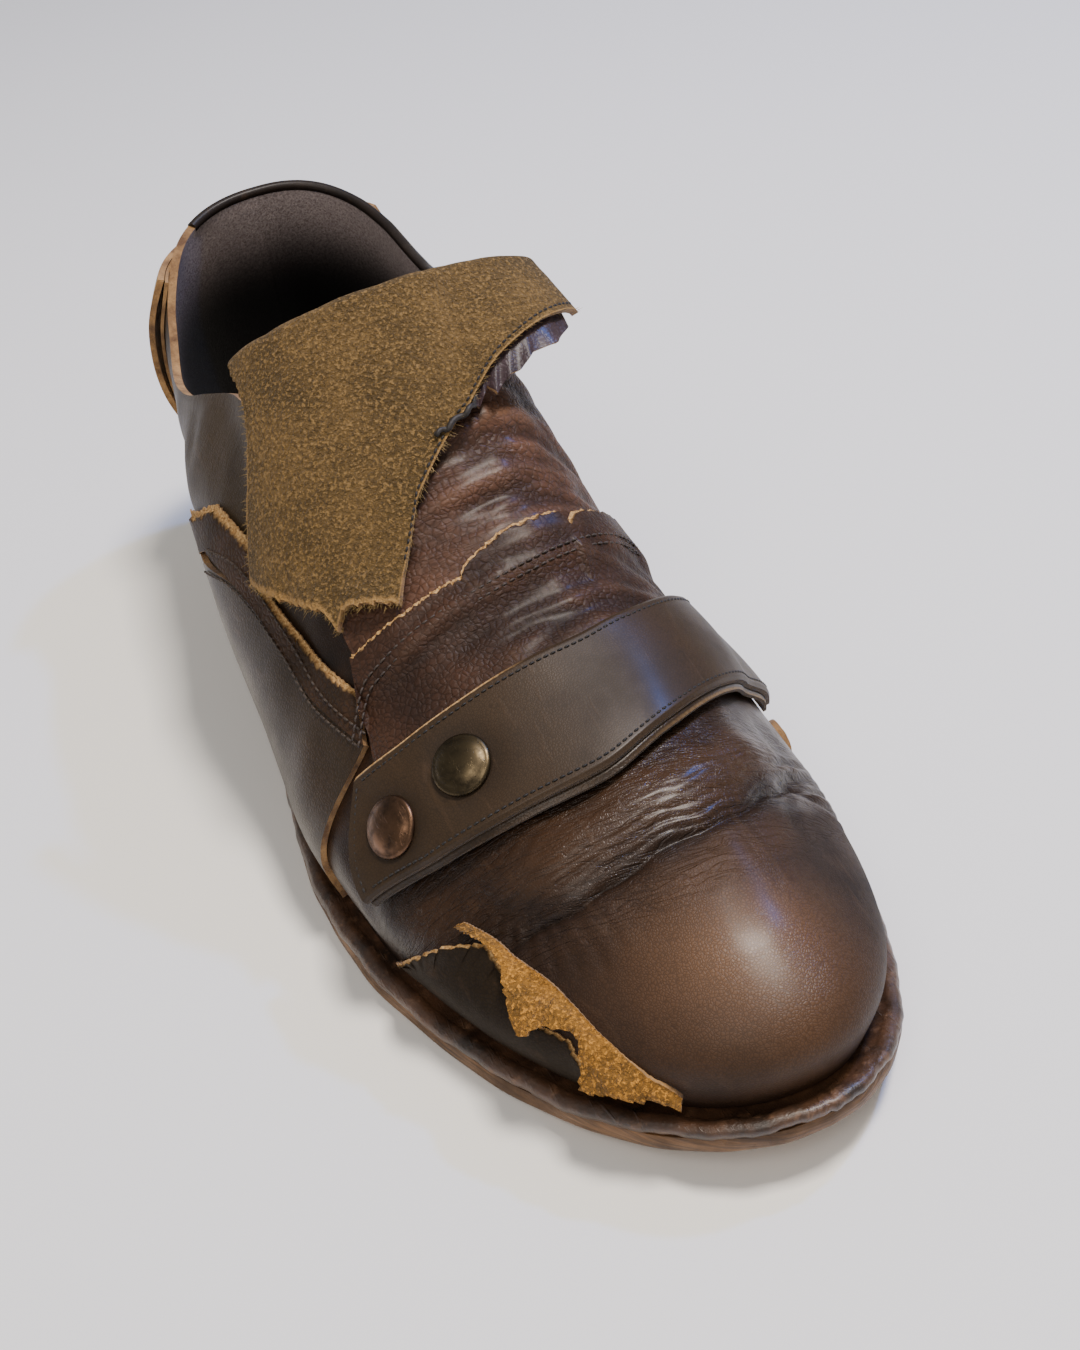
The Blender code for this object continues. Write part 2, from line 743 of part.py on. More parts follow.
def strap():
    """The belt strap over the vamp, and the lining under it."""
    grid = lattice(STRAP_PIECE, 26, 5)
    patch("strap_lining", grid, OVER_OVERLAY, OVER_OVERLAY + STRAP_LINING, LEATHER_DARK)
    patch("strap", grid, OVER_LINING, OVER_STRAP, LEATHER_DARK)


def stud(name, g, u, lift, diameter, height, finish):
    """A low round metal cap standing on the leather."""
    centre = skin(g, u, lift)
    up = normal(g, u)
    sideways = up.cross(Vector((0.0, 0.0, 1.0))).normalized()
    forward = up.cross(sideways)
    profile = ((1.0, 0.0), (1.0, 0.35), (0.86, 0.70), (0.55, 0.93))
    around = 20
    points = []
    for radius, rise in profile:
        for i in range(around):
            turn = 2 * math.pi * i / around
            flat = sideways * math.cos(turn) + forward * math.sin(turn)
            points.append(centre + flat * radius * diameter / 2 + up * rise * height)
    faces = [tuple(range(around - 1, -1, -1))]
    for ring in range(len(profile) - 1):
        for i in range(around):
            after = (i + 1) % around
            low = ring * around
            faces.append((low + i, low + after, low + around + after, low + around + i))
    top = len(points)
    points.append(centre + up * height)
    for i in range(around):
        faces.append((top - around + i, top - around + (i + 1) % around, top))
    return solid(name, points, faces, finish)


def fastenings():
    """Two snap caps on the lateral side, two rivets on leather tabs on the medial side."""
    for name, g, u in SNAPS:
        stud(name, g, u, OVER_STRAP + SEAT, SNAP_DIAMETER, SNAP_HEIGHT, OLD_BRASS)
    for name, g, u, corners in RIVET_TABS:
        # the last is about LENGTH long over g, and half a girth wide over u
        far_g = TAB_RADIUS / LENGTH
        far_u = TAB_RADIUS / HALF_GIRTH
        turns = [2 * math.pi * i / corners for i in range(corners)]
        rim = [(g + far_g * math.cos(turn), u + far_u * math.sin(turn)) for turn in turns]
        points = []
        for lift in (OVER_UPPER, OVER_UPPER + OVERLAY):
            points += [skin(a, b, lift) for a, b in rim]
        faces = [tuple(range(corners)), tuple(range(2 * corners - 1, corners - 1, -1))]
        for i in range(corners):
            after = (i + 1) % corners
            faces.append((i, after, corners + after, corners + i))
        solid("rivet_tab_" + name, points, faces, LEATHER_DARK)
        stud("rivet_" + name, g, u, OVER_UPPER + OVERLAY + SEAT, RIVET_DIAMETER, RIVET_HEIGHT, OLD_BRASS)


def heel_band():
    """A band of leather round the heel's back, held at its top and bottom and arched between."""
    outer = []
    inner = []
    ribs = spread(15, *HEEL_BAND_REACH)
    for k, u in zip(spread(7), spread(7, *HEEL_BAND_HEIGHT)):
        lift = OVER_UPPER + HEEL_ARCH * math.sin(math.pi * k)
        outer.append([skin(g, u, lift + STRAP) for g in ribs])
        inner.append([skin(g, u, lift) for g in ribs])
    sheet("heel_band", outer, inner, LEATHER_DARK)


def stand_on_origin():
    """Hang every piece on one empty that puts the origin under the middle of the shoe's box."""
    pieces = [thing for thing in bpy.context.scene.objects if thing.type == "MESH"]
    corners = [Vector(corner) for piece in pieces for corner in piece.bound_box]
    middle = [(min(c[i] for c in corners) + max(c[i] for c in corners)) / 2 for i in (0, 1)]
    shoe = bpy.data.objects.new("shoe", None)
    shoe.location = (-middle[0], -middle[1], 0.0)
    bpy.context.scene.collection.objects.link(shoe)
    for piece in pieces:
        piece.parent = shoe
    bpy.context.view_layer.update()


clear_scene()
outsole()
welt()
insole()
heel()
upper()
tongue()
tongue_flap()
overlays()
strap()
fastenings()
heel_band()
stand_on_origin()
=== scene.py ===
import math

import bmesh
import bpy
import numpy as np
from mathutils import Matrix, Vector


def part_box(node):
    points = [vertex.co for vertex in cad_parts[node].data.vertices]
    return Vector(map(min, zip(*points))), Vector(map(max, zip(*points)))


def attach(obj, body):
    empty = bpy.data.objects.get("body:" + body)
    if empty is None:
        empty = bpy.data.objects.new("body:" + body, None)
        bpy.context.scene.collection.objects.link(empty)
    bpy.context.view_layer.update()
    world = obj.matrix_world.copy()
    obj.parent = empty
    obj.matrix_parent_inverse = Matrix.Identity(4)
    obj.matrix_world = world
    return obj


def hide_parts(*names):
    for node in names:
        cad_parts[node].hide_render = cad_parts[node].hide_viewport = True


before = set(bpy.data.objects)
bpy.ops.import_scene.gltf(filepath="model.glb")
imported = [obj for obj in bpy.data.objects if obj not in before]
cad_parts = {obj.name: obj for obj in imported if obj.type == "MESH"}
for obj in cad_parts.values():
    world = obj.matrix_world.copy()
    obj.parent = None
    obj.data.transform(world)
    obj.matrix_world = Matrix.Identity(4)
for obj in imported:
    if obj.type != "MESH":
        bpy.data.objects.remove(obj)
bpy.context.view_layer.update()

# Camera, floor and light.
# The camera stands where the photograph was taken, turned to the one shoe and rolled as there.
# The floor is plain and pale; a warm key, a wide warm front lamp and a small blue one light it.
CAMERA_FROM_MIDDLE = Vector((-0.0964, -0.3083, 0.2832))
AIM_AZIMUTH = math.radians(-20.41)
AIM_ELEVATION = math.radians(39.37)
ROLL = math.radians(-8.51)
LENS = 54.0


def looking(azimuth, elevation, roll):
    """Turn of a camera or lamp that looks down from that azimuth and elevation."""
    back = Vector((
        math.sin(azimuth) * math.cos(elevation),
        -math.cos(azimuth) * math.cos(elevation),
        math.sin(elevation),
    ))
    right = Vector((0.0, 0.0, 1.0)).cross(back).normalized()
    up = back.cross(right)
    turned_right = right * math.cos(roll) + up * math.sin(roll)
    turned_up = up * math.cos(roll) - right * math.sin(roll)
    return Matrix((turned_right, turned_up, back)).transposed().to_4x4()


def add_camera():
    data = bpy.data.cameras.new("camera")
    data.sensor_fit = "HORIZONTAL"
    data.sensor_width = 36.0
    data.lens = LENS
    data.clip_start = 0.01
    data.clip_end = 20.0
    camera = bpy.data.objects.new("camera", data)
    camera.matrix_world = Matrix.Translation(CAMERA_FROM_MIDDLE) @ looking(AIM_AZIMUTH, AIM_ELEVATION, ROLL)
    bpy.context.scene.collection.objects.link(camera)
    bpy.context.scene.camera = camera


def add_lamp(name, azimuth, elevation, distance, size, watts, colour):
    """A square soft lamp that looks at the shoe."""
    data = bpy.data.lights.new(name, "AREA")
    data.shape = "SQUARE"
    data.size = size
    data.energy = watts
    data.color = colour
    lamp = bpy.data.objects.new(name, data)
    turn = looking(math.radians(azimuth), math.radians(elevation), 0.0)
    back = turn.to_3x3() @ Vector((0.0, 0.0, 1.0))
    lamp.matrix_world = Matrix.Translation(back * distance + Vector((0.0, 0.0, 0.05))) @ turn
    bpy.context.scene.collection.objects.link(lamp)


def add_floor():
    mesh = bpy.data.meshes.new("floor")
    half = 6.0
    corners = [(-half, -half, 0), (half, -half, 0), (half, half, 0), (-half, half, 0)]
    mesh.from_pydata(corners, [], [(0, 1, 2, 3)])
    floor = bpy.data.objects.new("floor", mesh)
    paint = bpy.data.materials.new("floor")
    paint.use_nodes = True
    shader = paint.node_tree.nodes["Principled BSDF"]
    shader.inputs["Base Color"].default_value = (0.93, 0.92, 0.90, 1.0)
    shader.inputs["Roughness"].default_value = 0.75
    mesh.materials.append(paint)
    bpy.context.scene.collection.objects.link(floor)


def add_sky():
    world = bpy.data.worlds.new("studio")
    world.use_nodes = True
    background = world.node_tree.nodes["Background"]
    background.inputs["Color"].default_value = (1.0, 0.99, 0.97, 1.0)
    background.inputs["Strength"].default_value = 0.29
    bpy.context.scene.world = world


add_camera()
add_floor()
add_sky()
add_lamp("key", 74.0, 74.0, 1.3, 0.26, 21.0, (1.0, 0.91, 0.81))
add_lamp("front", -40.0, 52.0, 1.6, 0.9, 9.0, (1.0, 0.93, 0.85))
add_lamp("window", 102.0, 54.0, 1.5, 0.06, 9.0, (0.04, 0.26, 1.0))

# Outsole.
# One layer of sole leather with the whole outline, arch and toe spring, its edge stained and
# rubbed, its tread dry and scuffed where it meets the floor. It is cemented under the welt.
LENGTH = 0.297
BALL_WIDTH = 0.118
INSTEP_HEIGHT = 0.086
COLLAR_HEIGHT = 0.078
HEEL_LIFT = 0.018
TOE_SPRING = 0.011
OUTSOLE = 0.0045
WELT = 0.0035
MARGIN = 0.0065
HEEL_ROUND = 0.034
TOE_ROUND = 0.088
HEEL_SQUARE = 2.3
TOE_SQUARE = 2.15
GAP = 0.0003
LATERAL, MEDIAL, RIDGE = 1, 2, 3
# shares of a sole's edge where the heel's round ends and where the toe's round starts
HEEL_SHARE = 0.2
TOE_SHARE = 0.65

# station (share of LENGTH); lateral edge, medial edge, ridge (shares of BALL_WIDTH)
OUTLINE = (
    (0.00, -0.255, 0.285, 0.030),
    (0.10, -0.260, 0.285, 0.030),
    (0.20, -0.285, 0.275, 0.030),
    (0.30, -0.335, 0.270, 0.030),
    (0.40, -0.415, 0.280, 0.040),
    (0.50, -0.485, 0.335, 0.050),
    (0.60, -0.520, 0.415, 0.050),
    (0.68, -0.510, 0.450, 0.050),
    (0.78, -0.465, 0.448, 0.050),
    (0.90, -0.415, 0.435, 0.045),
    (1.00, -0.375, 0.425, 0.040),
)
# station (share of LENGTH); welt beside the upper, lateral and medial (shares of MARGIN)
MARGINS = (
    (0.00, 0.25, 0.25),
    (0.25, 0.25, 0.20),
    (0.42, 0.35, 0.15),
    (0.55, 0.80, 0.45),
    (0.70, 1.00, 1.00),
    (1.00, 1.00, 1.00),
)


def curve(table, column, at):
    """Smooth curve through one column of a table, for one value or an array."""
    rows = np.array(table, dtype=float)
    x = rows[:, 0]
    y = rows[:, column]
    slope = np.diff(y) / np.diff(x)
    tangent = np.zeros(len(x))
    tangent[0] = slope[0]
    tangent[-1] = slope[-1]
    product = slope[:-1] * slope[1:]
    total = slope[:-1] + slope[1:]
    same_way = product > 0
    tangent[1:-1][same_way] = 2.0 * product[same_way] / total[same_way]
    at = np.clip(np.asarray(at, dtype=float), x[0], x[-1])
    i = np.clip(np.searchsorted(x, at, side="right") - 1, 0, len(x) - 2)
    width = x[i + 1] - x[i]
    k = (at - x[i]) / width
    low = y[i] * (1 + 2 * k) * (1 - k) ** 2 + tangent[i] * width * k * (1 - k) ** 2
    high = y[i + 1] * k * k * (3 - 2 * k) + tangent[i + 1] * width * k * k * (k - 1)
    return low + high


def broken(table, column, at):
    """Broken line through one column of a table, for torn edges."""
    rows = np.array(table, dtype=float)
    return np.interp(at, rows[:, 0], rows[:, column])


def ease(start, end, at):
    k = np.clip((at - start) / (end - start), 0.0, 1.0)
    return k * k * (3 - 2 * k)


def tread_z(t):
    """Underside of the outsole at a distance t from the heel's back."""
    station = t / LENGTH
    toe = np.maximum(station - 0.80, 0.0) / 0.20
    return HEEL_LIFT * (1 - ease(0.27, 0.56, station)) + TOE_SPRING * toe * toe


def feather_z(t):
    """Top of the welt, where the upper starts."""
    return tread_z(t) + OUTSOLE + WELT


def side_x(t, side, inset):
    """Plan edge on one side, before the rounds; inset 1 is the upper's edge, 0 the welt's."""
    station = t / LENGTH
    in_by = [curve(MARGINS, column, station) * MARGIN * inset for column in (LATERAL, MEDIAL)]
    lateral = curve(OUTLINE, LATERAL, station) * BALL_WIDTH + in_by[0]
    medial = curve(OUTLINE, MEDIAL, station) * BALL_WIDTH - in_by[1]
    return np.where(side < 0, lateral, medial)


def ends(inset):
    """Distances from the heel's back of the rear and front ends."""
    return MARGIN * 0.25 * inset, LENGTH - MARGIN * inset


TOE_START = ends(1.0)[1] - TOE_ROUND


def place(zone, across, along, side, inset, swell, deeper=0.0):
    """Plan point from unit coordinates in the heel's round, the middle or the toe's round."""
    back, front = ends(inset)
    back += deeper
    front -= deeper
    if zone == "heel":
        t = HEEL_ROUND - (HEEL_ROUND - back + swell) * along
    elif zone == "toe":
        t = TOE_START + (front - TOE_START + swell) * along
    else:
        t = along
    centre = curve(OUTLINE, RIDGE, t / LENGTH) * BALL_WIDTH
    edge = side_x(t, side, inset) - side * deeper
    return centre + (edge - centre + side * swell) * across, t


def round_end(angle, power):
    """Point of a unit superellipse, across and along."""
    across = np.abs(np.sin(angle))
    along = np.abs(np.cos(angle))
    size = (across ** power + along ** power) ** (1 / power)
    return across / size, along / size


# the frame's outsole says where the shoe's own middle lies
outsole_low, outsole_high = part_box("outsole")
stations = np.linspace(0.0, LENGTH, 400)
SHIFT = np.array((
    outsole_low.x - float(side_x(stations, -1, 0.0).min()),
    (outsole_low.y + outsole_high.y) / 2,
    0.0,
))


def rim(p, side, inset, rise, deeper=0.0):
    """Points of the sole's edge: p runs from the heel's back (0) to the toe's tip (1)."""
    zone, across = "middle", 1.0
    if p < HEEL_SHARE:
        zone = "heel"
        across, along = round_end(p / HEEL_SHARE * math.pi / 2, HEEL_SQUARE)
    elif p < TOE_SHARE:
        along = HEEL_ROUND + (TOE_START - HEEL_ROUND) * (p - HEEL_SHARE) / (TOE_SHARE - HEEL_SHARE)
    else:
        zone = "toe"
        along, across = round_end((p - TOE_SHARE) / (1 - TOE_SHARE) * math.pi / 2, TOE_SQUARE)
    x, t = place(zone, across, along, side, inset, 0.0, deeper)
    return (float(x), LENGTH / 2 - float(t), float(tread_z(t)) + rise)


def paint(red, green, blue):
    """Linear colour from the 0 to 255 values of a colour chart."""
    channels = [value / 255 for value in (red, green, blue)]
    return tuple(c / 12.92 if c <= 0.04045 else ((c + 0.055) / 1.055) ** 2.4 for c in channels)


def lay(tree, kind, settings=None, **inputs):
    """Adds a node; inputs are values or the sockets that feed them, spaces in names as _."""
    made = tree.nodes.new("ShaderNode" + kind)
    for key, value in (settings or {}).items():
        setattr(made, key, value)
    for key, value in inputs.items():
        by_number = key[0] == "i" and key[1:].isdigit()
        socket = made.inputs[int(key[1:]) if by_number else key.replace("_", " ")]
        if isinstance(value, bpy.types.NodeSocket):
            tree.links.new(value, socket)
        elif isinstance(value, tuple) and len(value) == 3 and socket.type == "RGBA":
            socket.default_value = (*value, 1.0)
        else:
            socket.default_value = value
    return made


def blend(tree, factor, first, second):
    """Colour between two colours or sockets."""
    made = lay(tree, "Mix", {"data_type": "RGBA"})
    for index, value in ((0, factor), (6, first), (7, second)):
        if isinstance(value, bpy.types.NodeSocket):
            tree.links.new(value, made.inputs[index])
        elif isinstance(value, tuple):
            made.inputs[index].default_value = (*value, 1.0)
        else:
            made.inputs[index].default_value = value
    return made.outputs[2]


def spread(tree, value, low, high, to_low=0.0, to_high=1.0):
    """Value stretched from one range to another, clamped."""
    made = lay(tree, "MapRange", {"clamp": True}, Value=value)
    made.inputs["From Min"].default_value = low
    made.inputs["From Max"].default_value = high
    made.inputs["To Min"].default_value = to_low
    made.inputs["To Max"].default_value = to_high
    return made.outputs["Result"]


def sums(tree, operation, first, second):
    return lay(tree, "Math", {"operation": operation}, i0=first, i1=second).outputs[0]


def times(tree, first, second):
    return sums(tree, "MULTIPLY", first, second)


def stretched(tree, spot, scales):
    """A spot scaled by a number of its own along each axis."""
    return lay(tree, "VectorMath", {"operation": "MULTIPLY"}, i0=spot, i1=scales).outputs[0]


def noise(tree, spot, scale, detail=2.0, roughness=0.5, distortion=0.0):
    """Noise from 0 to 1 at a spot."""
    made = lay(tree, "TexNoise", Vector=spot, Scale=scale, Detail=detail, Roughness=roughness,
               Distortion=distortion)
    return made.outputs["Fac"]


def dim(colour, share):
    return tuple(channel * share for channel in colour)


def new_group(name, inputs, outputs):
    """An empty node group with named values in and named values out."""
    group = bpy.data.node_groups.new(name, "ShaderNodeTree")
    for label, kind, value in inputs:
        socket = group.interface.new_socket(name=label, in_out="INPUT", socket_type="NodeSocket" + kind)
        if value is not None:
            socket.default_value = value
    for label, kind in outputs:
        group.interface.new_socket(name=label, in_out="OUTPUT", socket_type="NodeSocket" + kind)
    start = group.nodes.new("NodeGroupInput")
    end = group.nodes.new("NodeGroupOutput")
    return group, start, end


def use_group(tree, group, **inputs):
    made = tree.nodes.new("ShaderNodeGroup")
    made.node_tree = group
    for key, value in inputs.items():
        socket = made.inputs[key.replace("_", " ")]
        if isinstance(value, bpy.types.NodeSocket):
            tree.links.new(value, socket)
        else:
            socket.default_value = value
    return made


def new_material(name, roughness, metallic=0.0, coat=0.0, coat_roughness=0.2, sheen=0.0, specular=0.5):
    """A material whose shader has its even values set on its own sockets."""
    made = bpy.data.materials.new(name)
    made.use_nodes = True
    tree = made.node_tree
    shader = tree.nodes["Principled BSDF"]
    shader.inputs["Roughness"].default_value = roughness
    shader.inputs["Metallic"].default_value = metallic
    shader.inputs["Coat Weight"].default_value = coat
    shader.inputs["Coat Roughness"].default_value = coat_roughness
    shader.inputs["Sheen Weight"].default_value = sheen
    shader.inputs["Specular IOR Level"].default_value = specular
    return made, tree, shader


def finish_surface(tree, shader, colour, roughness, heights):
    """Feeds colour, roughness and one bump for each (height, depth in metres)."""
    tree.links.new(colour, shader.inputs["Base Color"])
    if roughness is not None:
        tree.links.new(roughness, shader.inputs["Roughness"])
    normal = None
    for height, depth in heights:
        bump = lay(tree, "Bump", Height=height, Distance=depth, Strength=1.0)
        if normal is not None:
            tree.links.new(normal, bump.inputs["Normal"])
        normal = bump.outputs["Normal"]
    if normal is not None:
        tree.links.new(normal, shader.inputs["Normal"])


def build_wear():
    """Soft stains and fine scratches, as two masks from 0 to 1."""
    group, start, end = new_group(
        "stain and scratch",
        [("Vector", "Vector", None), ("Stain Scale", "Float", 40.0), ("Scratch Scale", "Float", 300.0)],
        [("Stain", "Float"), ("Scratch", "Float")],
    )
    stain = noise(group, start.outputs["Vector"], start.outputs["Stain Scale"], 5.0, 0.62)
    group.links.new(spread(group, stain, 0.36, 0.66), end.inputs["Stain"])
    long_way = stretched(group, start.outputs["Vector"], (1.0, 0.12, 0.6))
    scratch = noise(group, long_way, start.outputs["Scratch Scale"], 3.0, 0.7, 0.6)
    group.links.new(spread(group, scratch, 0.58, 0.74), end.inputs["Scratch"])
    return group


WEAR = build_wear()


def place_in(tree):
    return tree.nodes.new("ShaderNodeTexCoord").outputs["Object"]


def wear_on(tree, spot, stain_scale, scratch_scale):
    wear = use_group(tree, WEAR, Vector=spot, Stain_Scale=stain_scale, Scratch_Scale=scratch_scale)
    return wear.outputs["Stain"], wear.outputs["Scratch"]


def sole_leather(name, edge_colour, dark, bottom):
    """Leather edge in fine layers with dark stain; the tread is paler and scuffed."""
    made, tree, shader = new_material(name, 0.6, coat=0.08, coat_roughness=0.35)
    spot = place_in(tree)
    stain, scratch = wear_on(tree, spot, 70.0, 420.0)
    layers = noise(tree, stretched(tree, spot, (60.0, 60.0, 1900.0)), 1.0, 4.0, 0.6)
    colour = blend(tree, spread(tree, layers, 0.35, 0.68), edge_colour, dark)
    colour = blend(tree, times(tree, stain, 0.75), colour, dark)
    facing = tree.nodes.new("ShaderNodeNewGeometry").outputs["True Normal"]
    down = lay(tree, "SeparateXYZ", Vector=facing).outputs["Z"]
    under = spread(tree, down, -0.5, -0.9)
    dry = blend(tree, stain, bottom, dim(bottom, 0.45))
    dry = blend(tree, times(tree, scratch, 0.6), dry, dim(bottom, 0.25))
    colour = blend(tree, under, colour, dry)
    rough = spread(tree, stain, 0.0, 1.0, 0.42, 0.75)
    finish_surface(tree, shader, colour, rough, [(layers, 0.0002), (scratch, 0.0001)])
    return made


SOLE_LEATHER = sole_leather("sole leather", paint(140, 100, 60), paint(58, 40, 25), paint(150, 118, 84))


def add_object(name, points, faces, materials, slots=None, masks=None, weld=0.0, sharp=40.0):
    """A mesh object in the frame from points of the shoe's own chart, facing outwards."""
    points = np.asarray(points, dtype=float) + SHIFT
    mesh = bpy.data.meshes.new(name)
    mesh.from_pydata(points.tolist(), [], [tuple(int(i) for i in face) for face in faces])
    for label, values in (masks or {}).items():
        values = np.asarray(values, dtype=np.float32)
        if values.ndim == 2:
            layer = mesh.attributes.new(label, "FLOAT_VECTOR", "POINT")
            layer.data.foreach_set("vector", values.ravel())
        else:
            layer = mesh.attributes.new(label, "FLOAT", "POINT")
            layer.data.foreach_set("value", values)
    for material in materials:
        mesh.materials.append(material)
    if slots is not None:
        mesh.polygons.foreach_set("material_index", np.asarray(slots, dtype=np.int32))
    work = bmesh.new()
    work.from_mesh(mesh)
    if weld:
        bmesh.ops.remove_doubles(work, verts=work.verts, dist=weld)
        bmesh.ops.dissolve_degenerate(work, edges=work.edges, dist=weld)
    bmesh.ops.recalc_face_normals(work, faces=work.faces)
    if work.calc_volume(signed=True) < 0:
        bmesh.ops.reverse_faces(work, faces=work.faces)
    work.to_mesh(mesh)
    work.free()
    mesh.shade_smooth()
    mesh.set_sharp_from_angle(angle=math.radians(sharp))
    made = bpy.data.objects.new(name, mesh)
    bpy.context.scene.collection.objects.link(made)
    return made


def put_on(piece, slot, *nodes):
    """The piece rides on the shoe and stands for its solids, which it hides; slot is not used."""
    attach(piece, "root")
    if nodes:
        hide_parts(*nodes)
    return piece


def straight(start, end, count):
    """Points on the line between two points, without the two."""
    start = np.array(start)
    end = np.array(end)
    return [tuple(start * (1 - k) + end * k) for k in np.linspace(0, 1, count)[1:-1]]


def sleeve(rings, sides, first=0):
    """Faces between rings of points that are numbered in order, and one cap at each end."""
    faces = []
    for low in range(first, first + (rings - 1) * sides, sides):
        for s in range(sides):
            after = (s + 1) % sides
            faces.append((low + s, low + after, low + sides + after, low + sides + s))
    last_ring = first + (rings - 1) * sides
    return faces + [tuple(range(last_ring, last_ring + sides)), tuple(range(first, first + sides))]


def slab(name, profile, materials, p_end=1.0, steps=150, across=14, breast=0.0, wobble=0.0):
    """A plate with the sole's outline from the heel's back to p_end. The profile's rows are
    (inset, deeper, rise) up the side, and breast hollows the front end of a heel's layer."""
    loops = []
    for i in range(steps + 1):
        p = p_end * i / steps
        edge = wobble * math.sin(p * 93.0) * math.sin(p * 37.0 + 1.0)
        left = [rim(p, -1, inset, rise, deeper + edge) for inset, deeper, rise in profile]
        right = [rim(p, 1, inset, rise, deeper + edge) for inset, deeper, rise in profile]
        top = straight(left[-1], right[-1], across)
        loops.append(left + top + right[::-1] + straight(right[0], left[0], across))
    if breast:
        width = abs(loops[-1][0][0]) * 1.1
        loops[-1] = [(x, y + breast * (1 - min(abs(x) / width, 1.0) ** 2), z) for x, y, z in loops[-1]]
    points = [point for loop in loops for point in loop]
    return add_object(name, points, sleeve(steps + 1, len(loops[0])), materials, weld=1e-6)


edge_profile = (
    (0.0, 0.0012, 0.0),
    (0.0, 0.0003, 0.0005),
    (0.0, 0.0, 0.0013),
    (0.0, 0.0001, 0.0030),
    (0.0, 0.0008, OUTSOLE - GAP),
)
put_on(slab("outsole_leather", edge_profile, [SOLE_LEATHER], wobble=0.0002), "sole_leather", "outsole")

# Heel.
# Three layers of sole leather, nailed and cemented, with a black rubber top piece on the floor.
# Its front, the breast, is slightly hollow, and the stained edges show each layer.
TOP_PIECE = 0.0055
LIFTS = 3
LAYER_SEAM = 0.0002
HEEL_LENGTH = 0.262 * LENGTH
HEEL_P = HEEL_SHARE + (TOE_SHARE - HEEL_SHARE) * (HEEL_LENGTH - HEEL_ROUND) / (TOE_START - HEEL_ROUND)


def rubber():
    made, tree, shader = new_material("heel rubber", 0.7)
    spot = place_in(tree)
    stain, scratch = wear_on(tree, spot, 90.0, 350.0)
    colour = blend(tree, stain, paint(34, 32, 30), paint(58, 53, 48))
    finish_surface(tree, shader, colour, None, [(scratch, 0.00012)])
    return made


def heel_layer(name, low, high, draw_in, material, slot, node):
    """A layer with a soft edge; its rises are taken off the tread, which is level at the heel."""
    soft = 0.0004
    profile = (
        (0.0, draw_in + soft, low - HEEL_LIFT),
        (0.0, draw_in, low - HEEL_LIFT + soft),
        (0.0, draw_in, high - HEEL_LIFT - soft),
        (0.0, draw_in + soft, high - HEEL_LIFT),
    )
    piece = slab(name, profile, [material], p_end=HEEL_P, steps=60, across=8, breast=0.004, wobble=0.00012)
    put_on(piece, slot, node)


heel_layer("heel_rubber", 0.0, TOP_PIECE, 0.0010, rubber(), "heel_rubber", "heel_top_piece")
layer = (HEEL_LIFT - TOP_PIECE) / LIFTS
for lift in range(LIFTS):
    bottom = TOP_PIECE + lift * layer + 0.00012
    heel_layer("heel_layer_%d" % (lift + 1), bottom, bottom + layer - LAYER_SEAM, 0.0008 - 0.0003 * lift,
               SOLE_LEATHER, "sole_leather", "heel_lift_%d" % (lift + 1))

# Welt.
# A rounded strip of waxed reddish-brown leather, sewn round the upper's edge on the outsole.
# It is scuffed along its crown, and split on the inner side of the toe.
RAND = 0.0075
WELT_SPLIT = (0.905, 0.965)
SPLIT_DEPTH = 0.0011
# share of the way from heel to toe along the edge, and the station there
EDGE_STATIONS = ((0.0, 0.12), (0.2, 0.15), (0.65, 0.68), (1.0, 1.0))


def welt_leather():
    made, tree, shader = new_material("welt leather", 0.42, coat=0.25, coat_roughness=0.3)
    spot = place_in(tree)
    stain, scratch = wear_on(tree, spot, 110.0, 500.0)
    colour = blend(tree, stain, paint(88, 61, 43), paint(42, 30, 22))
    rubbed = noise(tree, spot, 260.0, 6.0, 0.7)
    worn = spread(tree, rubbed, 0.55, 0.72)
    colour = blend(tree, times(tree, worn, 0.55), colour, paint(140, 104, 76))
    rough = spread(tree, worn, 0.0, 1.0, 0.36, 0.62)
    finish_surface(tree, shader, colour, rough, [(rubbed, 0.0005), (scratch, 0.0002)])
    return made


